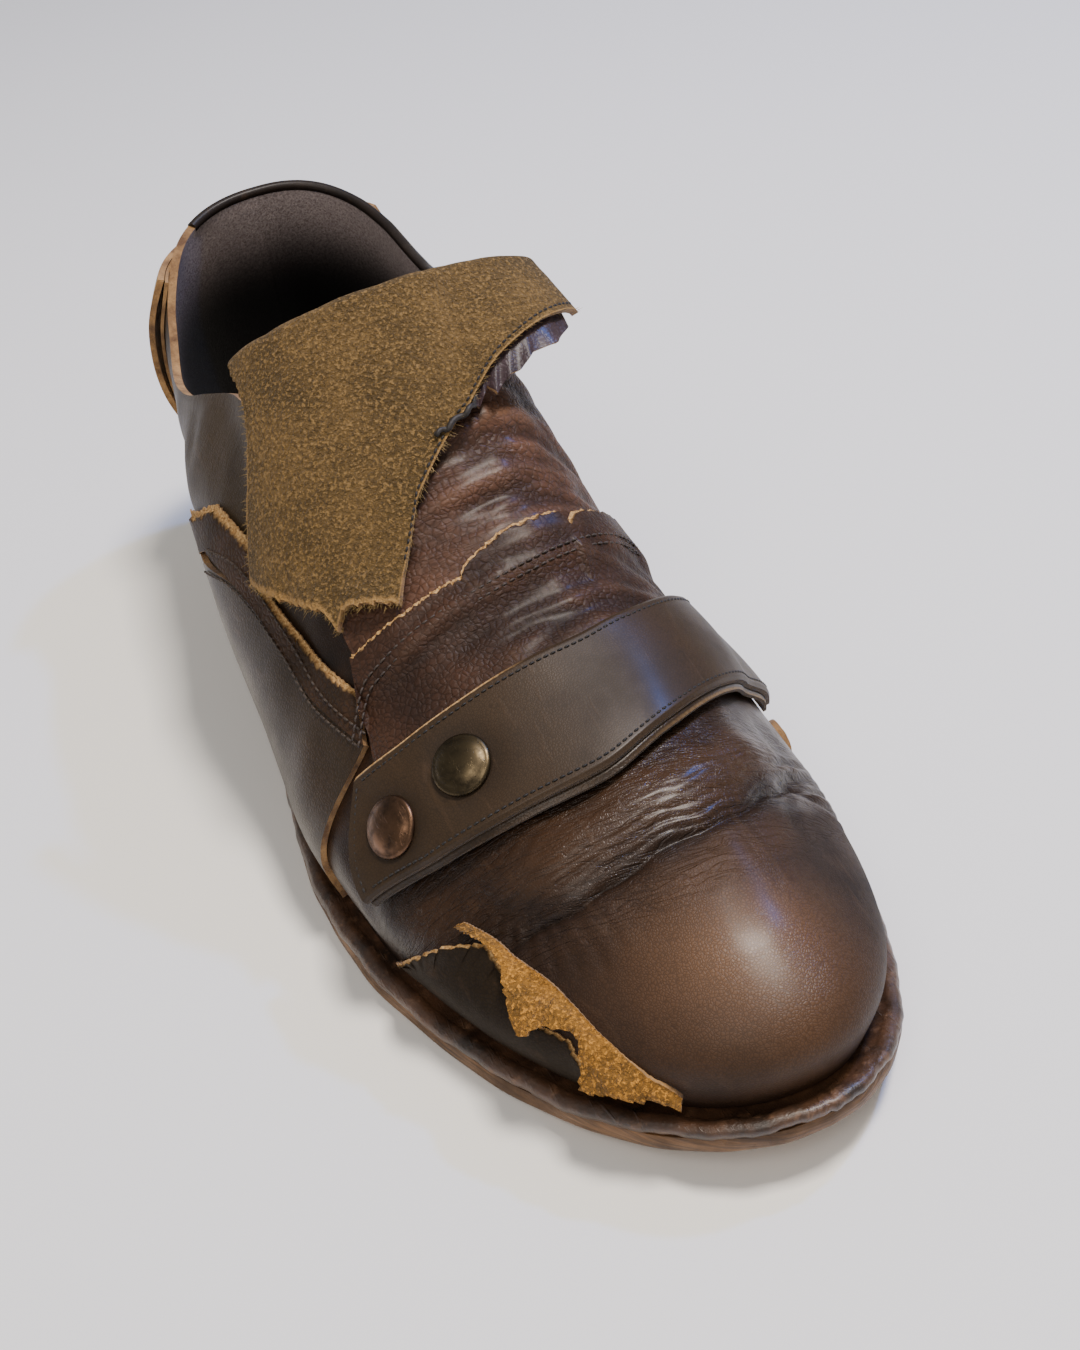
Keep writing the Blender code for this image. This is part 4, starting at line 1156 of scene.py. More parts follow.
# Tongue.
# A wide piece of brown pebbled leather outside the quarters, from its fold at the top down to
# the throat, where it goes in under the overlay. Walking has folded it across.
TONGUE = 0.0016
TONGUE_LIFT = 0.0009
LAP = 0.0002
TONGUE_PIECE = (
    (0.00, 0.414, -0.485, 0.640, -0.455),
    (0.15, 0.437, -0.340, 0.650, -0.330),
    (0.30, 0.450, -0.210, 0.655, -0.220),
    (0.45, 0.457, -0.070, 0.655, -0.110),
    (0.60, 0.457, 0.080, 0.645, 0.010),
    (0.72, 0.451, 0.200, 0.642, 0.190),
    (0.86, 0.439, 0.350, 0.622, 0.410),
    (1.00, 0.424, 0.490, 0.586, 0.660),
)
TONGUE_CREASES = (
    (0.500, -0.15, 0.492, 0.50, 1.5, 0.60, 1.5),
    (0.515, -0.10, 0.507, 0.52, -1.0, 0.45, 1.3),
    (0.530, -0.30, 0.520, 0.48, 1.2, 0.70, 1.7),
    (0.545, -0.12, 0.533, 0.55, 2.0, 0.55, 1.5),
    (0.556, -0.35, 0.552, 0.30, -1.2, 0.50, 1.4),
    (0.566, -0.20, 0.556, 0.60, 1.0, 0.75, 1.8),
    (0.580, -0.40, 0.574, 0.40, 1.5, 0.65, 1.6),
    (0.592, -0.30, 0.580, 0.58, -1.0, 0.60, 1.6),
    (0.604, -0.42, 0.598, 0.30, 0.8, 0.70, 1.7),
    (0.615, -0.25, 0.600, 0.50, 1.2, 0.55, 1.5),
    (0.485, -0.05, 0.478, 0.45, 0.8, 0.45, 1.3),
    (0.470, 0.05, 0.466, 0.42, 0.0, 0.35, 1.2),
    (0.540, 0.30, 0.575, 0.62, 0.0, 0.45, 1.5),
)


def lattice(table, columns, rows, torn=False, ragged=(0.0, 0.0), dense=(0.0, 0.0)):
    """Arrays g and u between the two edges of a piece. Ragged roughens its two edges by so many
    millimetres, and dense is the share near each edge that has extra rows."""
    share = np.linspace(0.0, 1.0, columns)
    if torn:
        share = np.unique(np.concatenate([share, np.array(table)[:, 0]]))
    read = broken if torn else curve
    part = np.array((0.0, 0.2, 0.4, 0.6, 0.8, 1.0, 1.3))
    k = np.concatenate([np.linspace(0.0, 1.0, rows), part * dense[0], 1 - part * dense[1]])
    k = np.unique(np.round(k, 5))[:, None]
    edges = [read(table, column, share) for column in (1, 2, 3, 4)]
    run = share * 130.0
    for i, amount in enumerate(ragged):
        rough = np.sin(run * 2.9 + i) * np.sin(run * 1.3 + 2.0) + 0.6 * np.sin(run * 7.3 + 1.0)
        edges[2 * i] = edges[2 * i] + rough * amount / G_LENGTH
        edges[2 * i + 1] = edges[2 * i + 1] + 0.5 * np.sin(run * 4.7) * amount / U_GIRTH
    g = edges[0][None, :] * (1 - k) + edges[2][None, :] * k
    u = edges[1][None, :] * (1 - k) + edges[3][None, :] * k
    return g, u, np.broadcast_to(share[None, :], g.shape), np.broadcast_to(k, g.shape)


def raw_lip(g, u, k, width):
    """Nearness, from 0 to 1, to a raw edge of so many millimetres at the first row."""
    length = np.hypot((g[-1] - g[0]) * G_LENGTH, (u[-1] - u[0]) * U_GIRTH)[None, :]
    run = g * G_LENGTH * 1.7 + u * U_GIRTH * 1.1
    uneven = 1 + 0.28 * np.sin(run * 2.1) * np.sin(run * 0.83 + 1.0) + 0.15 * np.sin(run * 5.3)
    return 1 - ease(0.75, 1.05, k * length / (width * uneven))


def grid_faces(rows, columns):
    """Faces of a sheet with two layers of points, and which of them are its cut edge."""
    i, j = np.meshgrid(np.arange(rows - 1), np.arange(columns - 1), indexing="ij")
    a = (i * columns + j).ravel()
    top = np.stack([a, a + 1, a + columns + 1, a + columns], axis=1)
    under = rows * columns
    low = top[:, ::-1] + under
    border = list(range(columns))
    border += [r * columns + columns - 1 for r in range(1, rows)]
    border += [(rows - 1) * columns + c for c in range(columns - 2, -1, -1)]
    border += [r * columns for r in range(rows - 2, 0, -1)]
    border = np.array(border)
    after = np.roll(border, -1)
    sides = np.stack([after, border, under + border, under + after], axis=1)
    faces = np.concatenate([top, low, sides])
    slots = np.concatenate([np.zeros(len(top)), np.full(len(low), 2), np.ones(len(sides))]).astype(int)
    return faces, slots


def leather_sheet(name, g, u, low, high, materials, masks, sharp=50.0):
    """A sheet between two lifts over the last; materials are face, cut edge and back."""
    return free_sheet(name, skin(g, u, high), skin(g, u, low), materials, masks, sharp)


def free_sheet(name, outer, inner, materials, masks, sharp=50.0):
    """A sheet between two grids of points."""
    rows, columns = outer.shape[:2]
    faces, slots = grid_faces(rows, columns)
    points = np.concatenate([outer.reshape(-1, 3), inner.reshape(-1, 3)])
    both = {}
    for label, values in masks.items():
        flat = values.reshape(-1, 3) if values.ndim == 3 else values.ravel()
        both[label] = np.concatenate([flat, flat])
    return add_object(name, points, faces, materials, slots, both, sharp=sharp)


def plain_masks(g, u, height=None, folded=0.0, olive=0.0, raw=0.0):
    """Masks of a sheet that are the same all over, apart from those given as arrays."""
    flat = np.zeros_like(g)
    return {
        "raw": flat + raw,
        "burnish_and_painted_light": flat,
        # crease: troughs get painted shade, ridges turn lighter where rubbed
        "crease_shade_and_rub": flat if height is None else np.clip(height / 0.0007, -1.0, 1.0),
        "olive": flat + olive,
        "folded": flat + folded,
        "chart": np.stack([g * G_LENGTH, u * U_GIRTH, flat], axis=-1) * 0.001,
    }


TONGUE_CALF = calf("tongue leather", (98, 68, 52), (54, 37, 28), (128, 96, 74), 600.0,
                   0.22, 0.12, 0.50, 0.10)


def tongue():
    g, u, _, k = lattice(TONGUE_PIECE, 96, 64)
    waves = 0.00020 * ripple(g, u, 4.0, 0.3) + 0.0003 * ripple(g, u, 11.0, 1.1)
    height = creases(TONGUE_CREASES, g, u) + waves
    height = np.maximum(height, -0.0009) * ease(0.0, 0.08, k)
    masks = plain_masks(g, u, height, folded=0.6)
    lift = TONGUE_LIFT + height
    return leather_sheet("tongue_leather", g, u, lift, lift + TONGUE, [TONGUE_CALF, RAW_EDGE, RAW_EDGE],
                         masks)


put_on(tongue(), "tongue_leather", "tongue")

# Tongue flap.
# The tongue's end, folded over outwards at the top, so that its suede flesh side shows. It hangs
# to the outer side, with a row of stitches along its inner edge and fuzz along the cut edges.
FLAP = 0.0018
FOLD_EASE = 0.0016
FLAP_STAND = 0.013
FLAP_PIECE = (
    (0.00, 0.414, -0.485, 0.513, -0.650),
    (0.15, 0.437, -0.340, 0.558, -0.540),
    (0.27, 0.448, -0.235, 0.589, -0.458),
    (0.30, 0.450, -0.210, 0.607, -0.448),
    (0.33, 0.452, -0.185, 0.601, -0.405),
    (0.45, 0.457, -0.070, 0.629, -0.292),
    (0.48, 0.458, -0.040, 0.614, -0.256),
    (0.60, 0.457, 0.080, 0.577, -0.164),
    (0.70, 0.452, 0.170, 0.546, -0.019),
    (0.80, 0.446, 0.255, 0.520, 0.120),
    (0.90, 0.437, 0.345, 0.498, 0.262),
    (1.00, 0.427, 0.430, 0.478, 0.412),
)


def suede(name, light, dark, nap):
    """Flesh side of the leather: short nap, lighter and darker where it was brushed."""
    made, tree, shader = new_material(name, 0.95, sheen=0.08, specular=0.1)
    spot = place_in(tree)
    hairs = noise(tree, spot, 1250.0, 3.0, 0.65)
    tufts = noise(tree, spot, 980.0, 3.0, 0.65, 0.4)
    brushed = noise(tree, spot, 55.0, 4.0, 0.6)
    colour = blend(tree, spread(tree, brushed, 0.32, 0.68), light, dark)
    speck = spread(tree, tufts, 0.48, 0.60)
    colour = blend(tree, times(tree, speck, 0.5), colour, dim(dark, 0.5))
    colour = blend(tree, spread(tree, hairs, 0.52, 0.62, 0.0, 0.8), colour, dim(light, 1.8))
    # pale cut-edge colour on the face where the raw mask is set; along the flap's hem it is a painted
    # highlight standing in for the lit cut edge
    colour = blend(tree, mask(tree, "raw"), colour, paint(166, 130, 80))
    finish_surface(tree, shader, colour, None, [(tufts, nap), (hairs, nap * 0.6)])
    return made


SUEDE = suede("suede flesh side", paint(114, 90, 54), paint(80, 64, 38), 0.0012)
FLAP_MIDDLE = TONGUE_LIFT + TONGUE + FOLD_EASE / 2


def flap_chart(share, k):
    """g and u of the flap: its outer edge is hollowed and its hem torn up to the inner corner."""
    g = broken(FLAP_PIECE, 1, share) * (1 - k) + broken(FLAP_PIECE, 3, share) * k
    u = broken(FLAP_PIECE, 2, share) * (1 - k) + broken(FLAP_PIECE, 4, share) * k
    u = u + 0.085 * np.sin(math.pi * k) * np.clip(1 - share / 0.3, 0.0, 1.0)
    torn = ease(0.0, 0.05, share) * (1 - ease(0.42, 0.47, share)) * ease(0.6, 1.0, k)
    run = share * 130.0
    g = g + torn * (np.sin(run * 2.9) * np.sin(run * 1.3) + 0.5 * np.sin(run * 7.3)) * 0.7 / G_LENGTH
    u = u + (share < 0.004) * np.sin(k * 70.0) * np.sin(k * 33.0) * 0.4 / U_GIRTH
    return g, u


def flap_point(share, k, radius):
    """Point of the hanging flap: it billows a little and its inner corner stands off."""
    g, u = flap_chart(share, k)
    stand = FLAP_STAND * ease(0.66, 1.0, share) * (1 + 0.25 * k * ease(0.8, 1.0, share))
    wave = 0.0007 * ripple(g, u, 13.0, 0.9) * ease(0.0, 0.35, k)
    billow = 0.0010 * np.sin(math.pi * k) * (1 - share)
    curl = 0.0010 * ease(0.86, 1.0, k) * np.abs(np.sin(share * 21.0)) * (1 - ease(0.42, 0.48, share))
    return skin(g, u, FLAP_MIDDLE + radius + stand + wave + billow + curl)


def flap():
    rows = np.array(FLAP_PIECE)[:, 0]
    share = np.unique(np.concatenate([np.linspace(0.0, 1.0, 150), rows]))
    k = np.linspace(0.0, 1.0, 74)[:, None]
    share, k = np.broadcast_arrays(share[None, :], k)
    edge_g, edge_u = flap_chart(share[0], k[0])
    back = last(edge_g - 0.01, edge_u) - last(edge_g + 0.01, edge_u)
    back /= np.linalg.norm(back, axis=-1, keepdims=True)
    bend = 12
    layers = []
    for radius in (FOLD_EASE / 2 + FLAP, FOLD_EASE / 2):
        hang = flap_point(share, k, radius)
        stand = FLAP_STAND * ease(0.66, 1.0, share[0])
        rows = []
        for i in range(bend):
            turn = math.pi * i / bend
            lift = FLAP_MIDDLE - radius * math.cos(turn) + stand * i / bend
            rows.append(skin(edge_g, edge_u, lift) + back * radius * math.sin(turn))
        layers.append(np.concatenate([np.array(rows), hang]))
    chart_g = np.concatenate([np.repeat(edge_g[None, :], bend, axis=0), flap_chart(share, k)[0]])
    chart_u = np.concatenate([np.repeat(edge_u[None, :], bend, axis=0), flap_chart(share, k)[1]])
    # the hem's raw mask paints the cut edge's pale colour onto the face: a painted highlight of the lit cut
    # edge
    hem = ease(0.972, 0.992, k)
    hem = np.maximum(hem, ease(0.30, 0.75, k) * (share < 0.004))
    raw = np.concatenate([np.zeros((bend, share.shape[1])), hem])
    return free_sheet("tongue_flap_suede", layers[0], layers[1], [SUEDE, RAW_EDGE, TONGUE_CALF],
                      plain_masks(chart_g, chart_u, raw=raw), sharp=80.0)


put_on(flap(), "suede", "tongue_flap")

# Overlays.
# Layers of the same leather sewn over the upper, their edges torn and left raw: the throat
# piece over the tongue's end, the strip and the foxing on the outer side, the inner foxing.
OVERLAY = 0.0014
THROAT_PIECE = (
    (0.00, 0.648, -0.485, 0.712, -0.585),
    (0.03, 0.625, -0.455, 0.722, -0.560),
    (0.20, 0.633, -0.290, 0.735, -0.360),
    (0.40, 0.636, -0.150, 0.742, -0.180),
    (0.43, 0.629, -0.130, 0.742, -0.150),
    (0.55, 0.618, -0.030, 0.742, -0.040),
    (0.68, 0.614, 0.150, 0.735, 0.140),
    (0.70, 0.626, 0.170, 0.735, 0.150),
    (0.74, 0.616, 0.205, 0.733, 0.200),
    (0.90, 0.591, 0.490, 0.702, 0.500),
    (0.93, 0.604, 0.530, 0.692, 0.570),
    (1.00, 0.566, 0.670, 0.672, 0.700),
)
THROAT_CREASES = (
    (0.650, -0.40, 0.638, 0.30, 1.0, 0.35, 1.6),
    (0.668, -0.45, 0.655, 0.45, -1.0, 0.40, 1.7),
    (0.684, -0.30, 0.672, 0.50, 1.0, 0.55, 1.8),
    (0.696, -0.20, 0.690, 0.40, 0.5, 0.70, 1.8),
    (0.708, -0.10, 0.698, 0.35, 1.0, 0.60, 1.6),
    (0.640, 0.20, 0.660, 0.60, 0.0, 0.45, 1.6),
)
BAND_LATERAL = (
    (0.00, 0.330, -0.905, 0.335, -0.945),
    (0.12, 0.381, -0.826, 0.386, -0.880),
    (0.20, 0.411, -0.757, 0.416, -0.820),
    (0.40, 0.477, -0.674, 0.482, -0.745),
    (0.50, 0.501, -0.659, 0.506, -0.720),
    (0.52, 0.505, -0.678, 0.509, -0.716),
    (0.70, 0.554, -0.620, 0.560, -0.672),
    (0.84, 0.592, -0.571, 0.604, -0.636),
    (1.00, 0.643, -0.499, 0.676, -0.556),
)
FOXING_LATERAL = (
    (0.00, 0.330, -0.935, 0.330, -0.975),
    (0.12, 0.412, -0.847, 0.412, -0.975),
    (0.35, 0.493, -0.727, 0.493, -0.975),
    (0.54, 0.542, -0.676, 0.552, -0.975),
    (0.75, 0.606, -0.624, 0.620, -0.975),
    (1.00, 0.676, -0.556, 0.690, -0.975),
)
FOXING_MEDIAL = (
    (0.00, 0.240, 0.900, 0.240, 0.975),
    (0.04, 0.262, 0.840, 0.262, 0.975),
    (0.10, 0.300, 0.820, 0.300, 0.975),
    (0.12, 0.306, 0.850, 0.306, 0.975),
    (0.40, 0.430, 0.815, 0.430, 0.975),
    (0.70, 0.520, 0.800, 0.520, 0.975),
    (0.80, 0.550, 0.830, 0.550, 0.975),
    (1.00, 0.640, 0.860, 0.640, 0.975),
)
OVERLAY_CALF = calf("overlay leather", (68, 46, 34), (40, 27, 20), (112, 82, 58), 660.0,
                    0.18, 0.1, 0.52, 0.08)
FOXING_CALF = calf("foxing leather", (56, 43, 32), (36, 28, 21), (98, 76, 54), 1150.0, 0.05, 0.1, 0.36, 0.2)


def throat():
    g, u, _, k = lattice(THROAT_PIECE, 150, 40, torn=True, ragged=(0.3, 0.0), dense=(0.045, 0.0))
    lip = raw_lip(g, u, k, 0.85)
    height = creases(THROAT_CREASES, g, u) + 0.00022 * ripple(g, u, 5.0, 1.7)
    height = np.maximum(height, -0.0005)
    over_tongue = (TONGUE + 0.0007) * (1 - ease(0.16, 0.45, k))
    lift = LAP + 0.0004 + over_tongue + height
    masks = plain_masks(g, u, height, folded=0.55, raw=lip)
    return leather_sheet("throat_leather", g, u, lift, lift + OVERLAY * (1 - 0.7 * lip),
                         [OVERLAY_CALF, RAW_EDGE, RAW_EDGE], masks)


def side_layer(name, table, columns, rows, base, thick, ragged, material, olive, lip_width=0.0, dense=0.0):
    """A layer on the upper's side, whose first edge may be ragged, with a lip of raw leather."""
    g, u, _, k = lattice(table, columns, rows, torn=True, ragged=(ragged, 0.0), dense=(dense, 0.0))
    lip = raw_lip(g, u, k, lip_width) if lip_width else np.zeros_like(g)
    height = 0.00012 * ripple(g, u, 7.0, 0.4)
    lift = np.maximum(vamp_relief(g, u) * 0.6, -0.0001) + LAP + base + height
    masks = plain_masks(g, u, height, folded=0.15, olive=olive, raw=lip)
    return leather_sheet(name, g, u, lift, lift + thick * (1 - 0.7 * lip), [material, RAW_EDGE, RAW_EDGE],
                         masks)


put_on(throat(), "tongue_leather", "throat_overlay")
put_on(side_layer("side_band", BAND_LATERAL, 150, 12, 0.0004, OVERLAY, 0.3, OVERLAY_CALF, 0.3, 1.1, 0.3),
       "upper_leather", "side_band_lateral")
put_on(side_layer("foxing_outer", FOXING_LATERAL, 110, 36, 0.0, OVERLAY * 1.1, 0.0, FOXING_CALF, 0.35),
       "upper_leather", "foxing_lateral")
put_on(side_layer("foxing_inner", FOXING_MEDIAL, 120, 26, 0.0, OVERLAY, 0.45, FOXING_CALF, 0.8, 1.0, 0.1),
       "upper_leather", "foxing_medial")

# Torn toe patch.
# A layer on the outer side of the toe whose upper edge was torn away from the vamp: the leather
# below the tear, and a curled strip of its ochre flesh side along the tear.
TOE_PATCH = (
    (0.00, 0.796, -0.918, 0.798, -0.950),
    (0.10, 0.811, -0.855, 0.814, -0.950),
    (0.20, 0.825, -0.790, 0.830, -0.950),
    (0.31, 0.845, -0.690, 0.850, -0.950),
    (0.42, 0.864, -0.616, 0.876, -0.950),
    (0.50, 0.885, -0.640, 0.900, -0.950),
    (0.62, 0.915, -0.700, 0.925, -0.950),
    (0.75, 0.948, -0.640, 0.950, -0.950),
    (0.86, 0.968, -0.700, 0.970, -0.950),
    (1.00, 0.990, -0.620, 0.990, -0.930),
)
TORN_STRIP = (
    (0.00, 0.837, -0.633, 0.838, -0.645),
    (0.18, 0.856, -0.606, 0.857, -0.622),
    (0.26, 0.866, -0.595, 0.870, -0.614),
    (0.34, 0.880, -0.590, 0.884, -0.624),
    (0.42, 0.893, -0.575, 0.900, -0.657),
    (0.50, 0.906, -0.560, 0.927, -0.717),
    (0.56, 0.918, -0.554, 0.933, -0.643),
    (0.62, 0.929, -0.550, 0.943, -0.595),
    (0.67, 0.938, -0.548, 0.951, -0.597),
    (0.73, 0.950, -0.545, 0.962, -0.643),
    (0.80, 0.962, -0.536, 0.975, -0.714),
    (0.86, 0.971, -0.528, 0.982, -0.642),
    (0.93, 0.983, -0.508, 0.989, -0.580),
    (1.00, 0.995, -0.462, 0.996, -0.474),
)
TORN_SUEDE = suede("torn flesh side", paint(164, 114, 48), paint(98, 74, 38), 0.0008)
# painted shade: the patch's leather gets near-black colours because it lies in deep shade
SHADED_CALF = calf("toe patch leather", (30, 22, 15), (18, 13, 9), (60, 44, 28), 1150.0,
                   0.05, 0.08, 0.62, 0.0)


def toe_patch():
    g, u, share, k = lattice(TOE_PATCH, 130, 26, torn=True, ragged=(0.4, 0.0), dense=(0.08, 0.0))
    lip = raw_lip(g, u, k, 0.9)
    peel = 0.0024 * np.exp(-(k / 0.20) ** 2) * np.sin(math.pi * np.clip(share * 2.1, 0, 1)) ** 0.5
    lift = LAP + peel + 0.0001 * ripple(g, u, 5.0, 0.2)
    masks = plain_masks(g, u, folded=0.3, olive=0.3, raw=lip)
    # burnish set below zero along the peeled top edge, meant as painted shade under the peel; the colour mix
    # clamps its factor at zero, so it leaves the colour as it is
    masks["burnish_and_painted_light"] = -0.4 * np.exp(-(k / 0.25) ** 2)
    return leather_sheet("toe_patch_leather", g, u, lift, lift + OVERLAY * 0.8 * (1 - 0.5 * lip),
                         [SHADED_CALF, RAW_EDGE, RAW_EDGE], masks)


def torn_strip():
    g, u, share, k = lattice(TORN_STRIP, 140, 16, torn=True, ragged=(0.2, 0.45))
    curl = 0.0022 * k ** 1.5 * (0.6 + 0.4 * np.sin(share * 17.0)) + 0.0005 * ripple(g, u, 2.6, 0.2)
    over_patch = 0.0016 * ease(0.1, 0.5, k)
    lift = LAP + 0.0001 + over_patch + np.maximum(curl, 0.0)
    masks = plain_masks(g, u)
    return leather_sheet("torn_strip_suede", g, u, lift, lift + 0.0008, [TORN_SUEDE, RAW_EDGE, TORN_SUEDE],
                         masks, 75.0)


put_on(toe_patch(), "upper_leather", "toe_patch")
put_on(torn_strip(), "raw_leather", "torn_strip")

# Strap.
# A belt of two layers of smooth dark leather across the vamp, sewn along its edges. It is fixed
# on the inner side and closed by two snaps on the outer side; its lower layer's edge is raw.
STRAP = 0.0017
STRAP_LINING = 0.0013
STRAP_PIECE = (
    (0.00, 0.695, -0.600, 0.770, -0.760),
    (0.20, 0.712, -0.430, 0.795, -0.560),
    (0.40, 0.719, -0.240, 0.808, -0.330),
    (0.55, 0.720, -0.040, 0.812, -0.120),
    (0.70, 0.711, 0.150, 0.797, 0.100),
    (0.85, 0.680, 0.450, 0.772, 0.420),
    (1.00, 0.618, 0.800, 0.722, 0.830),
)
SNAPS = (("snap_cap_low", "snap_low", 0.751, -0.590), ("snap_cap_high", "snap_high", 0.760, -0.360))
SNAP_DIAMETER = 0.0135
# millimetres of the strap that one unit of g stands for at the snaps
SNAP_G_LENGTH = 320.0
STRAP_LIFT = LAP + OVERLAY + 0.0008
STRAP_CALF = calf("strap leather", (60, 45, 32), (42, 31, 22), (90, 74, 56), 1500.0, 0.02, 0.05, 0.45, 0.16)


def near_snaps(g, u, reach):
    """Nearness, from 0 to 1, to the middle of a snap."""
    near = np.zeros_like(g)
    for _, _, snap_g, snap_u in SNAPS:
        distance = np.hypot((g - snap_g) * SNAP_G_LENGTH, (u - snap_u) * U_GIRTH)
        near = np.maximum(near, np.exp(-(distance / reach) ** 4))
    return near


def strap_drop(share):
    """How far the strap comes down to the upper at its inner end."""
    return 0.0013 * ease(0.86, 0.95, share)


def strap_layer(name, low, thick, material, back, grow, olive, lip, other):
    """One layer of the belt; lip and other are the widths of raw edge at its rear and front."""
    g, u, share, k = lattice(STRAP_PIECE, 190, 34, dense=(0.06, 0.06))
    u = u - 0.035 * np.sin(math.pi * k) * np.clip(1 - share / 0.12, 0.0, 1.0) ** 2
    g = g + (grow / G_LENGTH) * (2 * k - 1) * (k > 0.5)
    near_snap = near_snaps(g, u, 9.5) * (low > STRAP_LIFT)
    arch = np.sin(math.pi * k)
    crown = 0.0004 * arch - 0.0008 * near_snap + 0.0004 * np.sin(share * 9.0) * arch
    edge = np.minimum(k, 1 - k) * 26.0
    rounded = 0.35 * thick * (1 - ease(0.0, 0.9, edge))
    raw = raw_lip(g, u, k, lip) * (1 - ease(0.40, 0.50, share)) if lip else 0.0
    if other:
        raw = np.maximum(raw, 0.30 * (1 - ease(0.6, 0.9, (1 - k) * 26.0 / other)) * ease(0.55, 0.85, share))
    masks = plain_masks(g, u, olive=olive, raw=raw)
    # painted shade in the dent round each snap, carried by the crease mask
    masks["crease_shade_and_rub"] = -0.8 * near_snaps(g, u, 9.0) * (low > STRAP_LIFT)
    lift = low + crown - strap_drop(share)
    return leather_sheet(name, g, u, lift, lift + thick - rounded, [material, STRAP_EDGE, back], masks)


STRAP_EDGE = raw_edge("strap edge", paint(84, 62, 40), paint(46, 34, 24))
put_on(strap_layer("strap_underlayer", STRAP_LIFT, STRAP_LINING, FOXING_CALF, RAW_EDGE, 1.3, 0.2, 0.0, 0.6),
       "strap_leather", "strap_lining")
STRAP_TOP = STRAP_LIFT + STRAP_LINING + LAP
put_on(strap_layer("strap_belt", STRAP_TOP, STRAP, STRAP_CALF, STRAP_CALF, 0.0, 0.4, 0.6, 0.0),
       "strap_leather", "strap")

# Snaps and rivets.
# Pressed brass caps, darkened with age and rubbed on top, set through the strap; two rivets on
# leather tabs hold its inner end.
SNAP_HEIGHT = 0.0024
RIVET_DIAMETER = 0.006
RIVET_HEIGHT = 0.0014
TAB_RADIUS = 0.0058
GIRTH_AT_TABS = 0.106


def brass(name, light, dark):
    made, tree, shader = new_material(name, 0.38, metallic=1.0)
    spot = place_in(tree)
    stain, scratch = wear_on(tree, spot, 260.0, 1400.0)
    colour = blend(tree, stain, light, dark)
    rough = spread(tree, stain, 0.0, 1.0, 0.30, 0.52)
    finish_surface(tree, shader, colour, rough, [(scratch, 0.00005)])
    return made


def cap(name, g, u, lift, diameter, height, material):
    """A turned cap: a small foot, a rolled edge and a low dome, on the leather."""
    centre = skin(np.array(g), np.array(u), lift)
    up = outward(np.array(g), np.array(u))
    sideways = np.cross(up, (0.0, 0.0, 1.0))
    sideways /= np.linalg.norm(sideways)
    forward = np.cross(up, sideways)
    profile = ((0.90, 0.0), (1.0, 0.10), (1.02, 0.26), (0.98, 0.42), (0.90, 0.50),
               (0.86, 0.52), (0.78, 0.66), (0.62, 0.82), (0.42, 0.93), (0.20, 0.99))
    around = 48
    points = []
    for radius, rise in profile:
        points += circle(centre + up * rise * height, sideways, forward, radius * diameter / 2, around)
    faces = sleeve(len(profile), around)
    top = len(points)
    faces.remove(tuple(range(top - around, top)))
    points.append(centre + up * height)
    for i in range(around):
        faces.append((top - around + i, top - around + (i + 1) % around, top))
    return add_object(name, points, faces, [material], sharp=50.0)


COPPERY = brass("coppery snap", paint(116, 88, 68), paint(62, 48, 38))
OLD_BRASS = brass("old brass", paint(94, 82, 62), paint(50, 44, 34))
for (name, node, snap_g, snap_u), metal in zip(SNAPS, (COPPERY, OLD_BRASS)):
    piece = cap(name, snap_g, snap_u, STRAP_TOP + STRAP - 0.0004, SNAP_DIAMETER, SNAP_HEIGHT + 0.0004, metal)
    put_on(piece, "old_brass", node)


def tab(name, node, g, u, corners):
    """A small leather washer under a rivet, five-sided or round."""
    rings = []
    for radius in (0.05, 0.6, 1.0):
        turn = np.linspace(0.0, 2 * math.pi, 61)
        if corners < 8:
            sector = math.pi / corners
            radius = radius * math.cos(sector) / np.cos((turn + 0.3) % (2 * sector) - sector)
        across = radius * TAB_RADIUS * np.sin(turn) / GIRTH_AT_TABS
        rings.append((g + radius * TAB_RADIUS * np.cos(turn) / LENGTH, u + across))
    grid_g, grid_u = np.array(rings).transpose(1, 0, 2)
    masks = plain_masks(grid_g, grid_u, olive=0.4)
    low = np.full_like(grid_g, LAP)
    piece = leather_sheet(name, grid_g, grid_u, low, low + OVERLAY, [STRAP_CALF, RAW_EDGE, RAW_EDGE], masks)
    put_on(piece, "strap_leather", node)


for label, rivet_g, rivet_u, corners in (("rear", 0.588, 0.772, 5), ("front", 0.752, 0.865, 12)):
    tab("tab_" + label, "rivet_tab_" + label, rivet_g, rivet_u, corners)
    piece = cap("rivet_cap_" + label, rivet_g, rivet_u, LAP + OVERLAY - 0.0002, RIVET_DIAMETER, RIVET_HEIGHT,
                OLD_BRASS)
    put_on(piece, "old_brass", "rivet_" + label)

# Heel band.
# A band of two layers round the back of the heel, tacked at its top and bottom edges and arched
# off the counter between them, its raw edges showing at both ends.
HEEL_ARCH = 0.0035
HEEL_BAND_REACH = (-0.115, 0.135)
HEEL_BAND_HEIGHT = (-0.960, -0.775)


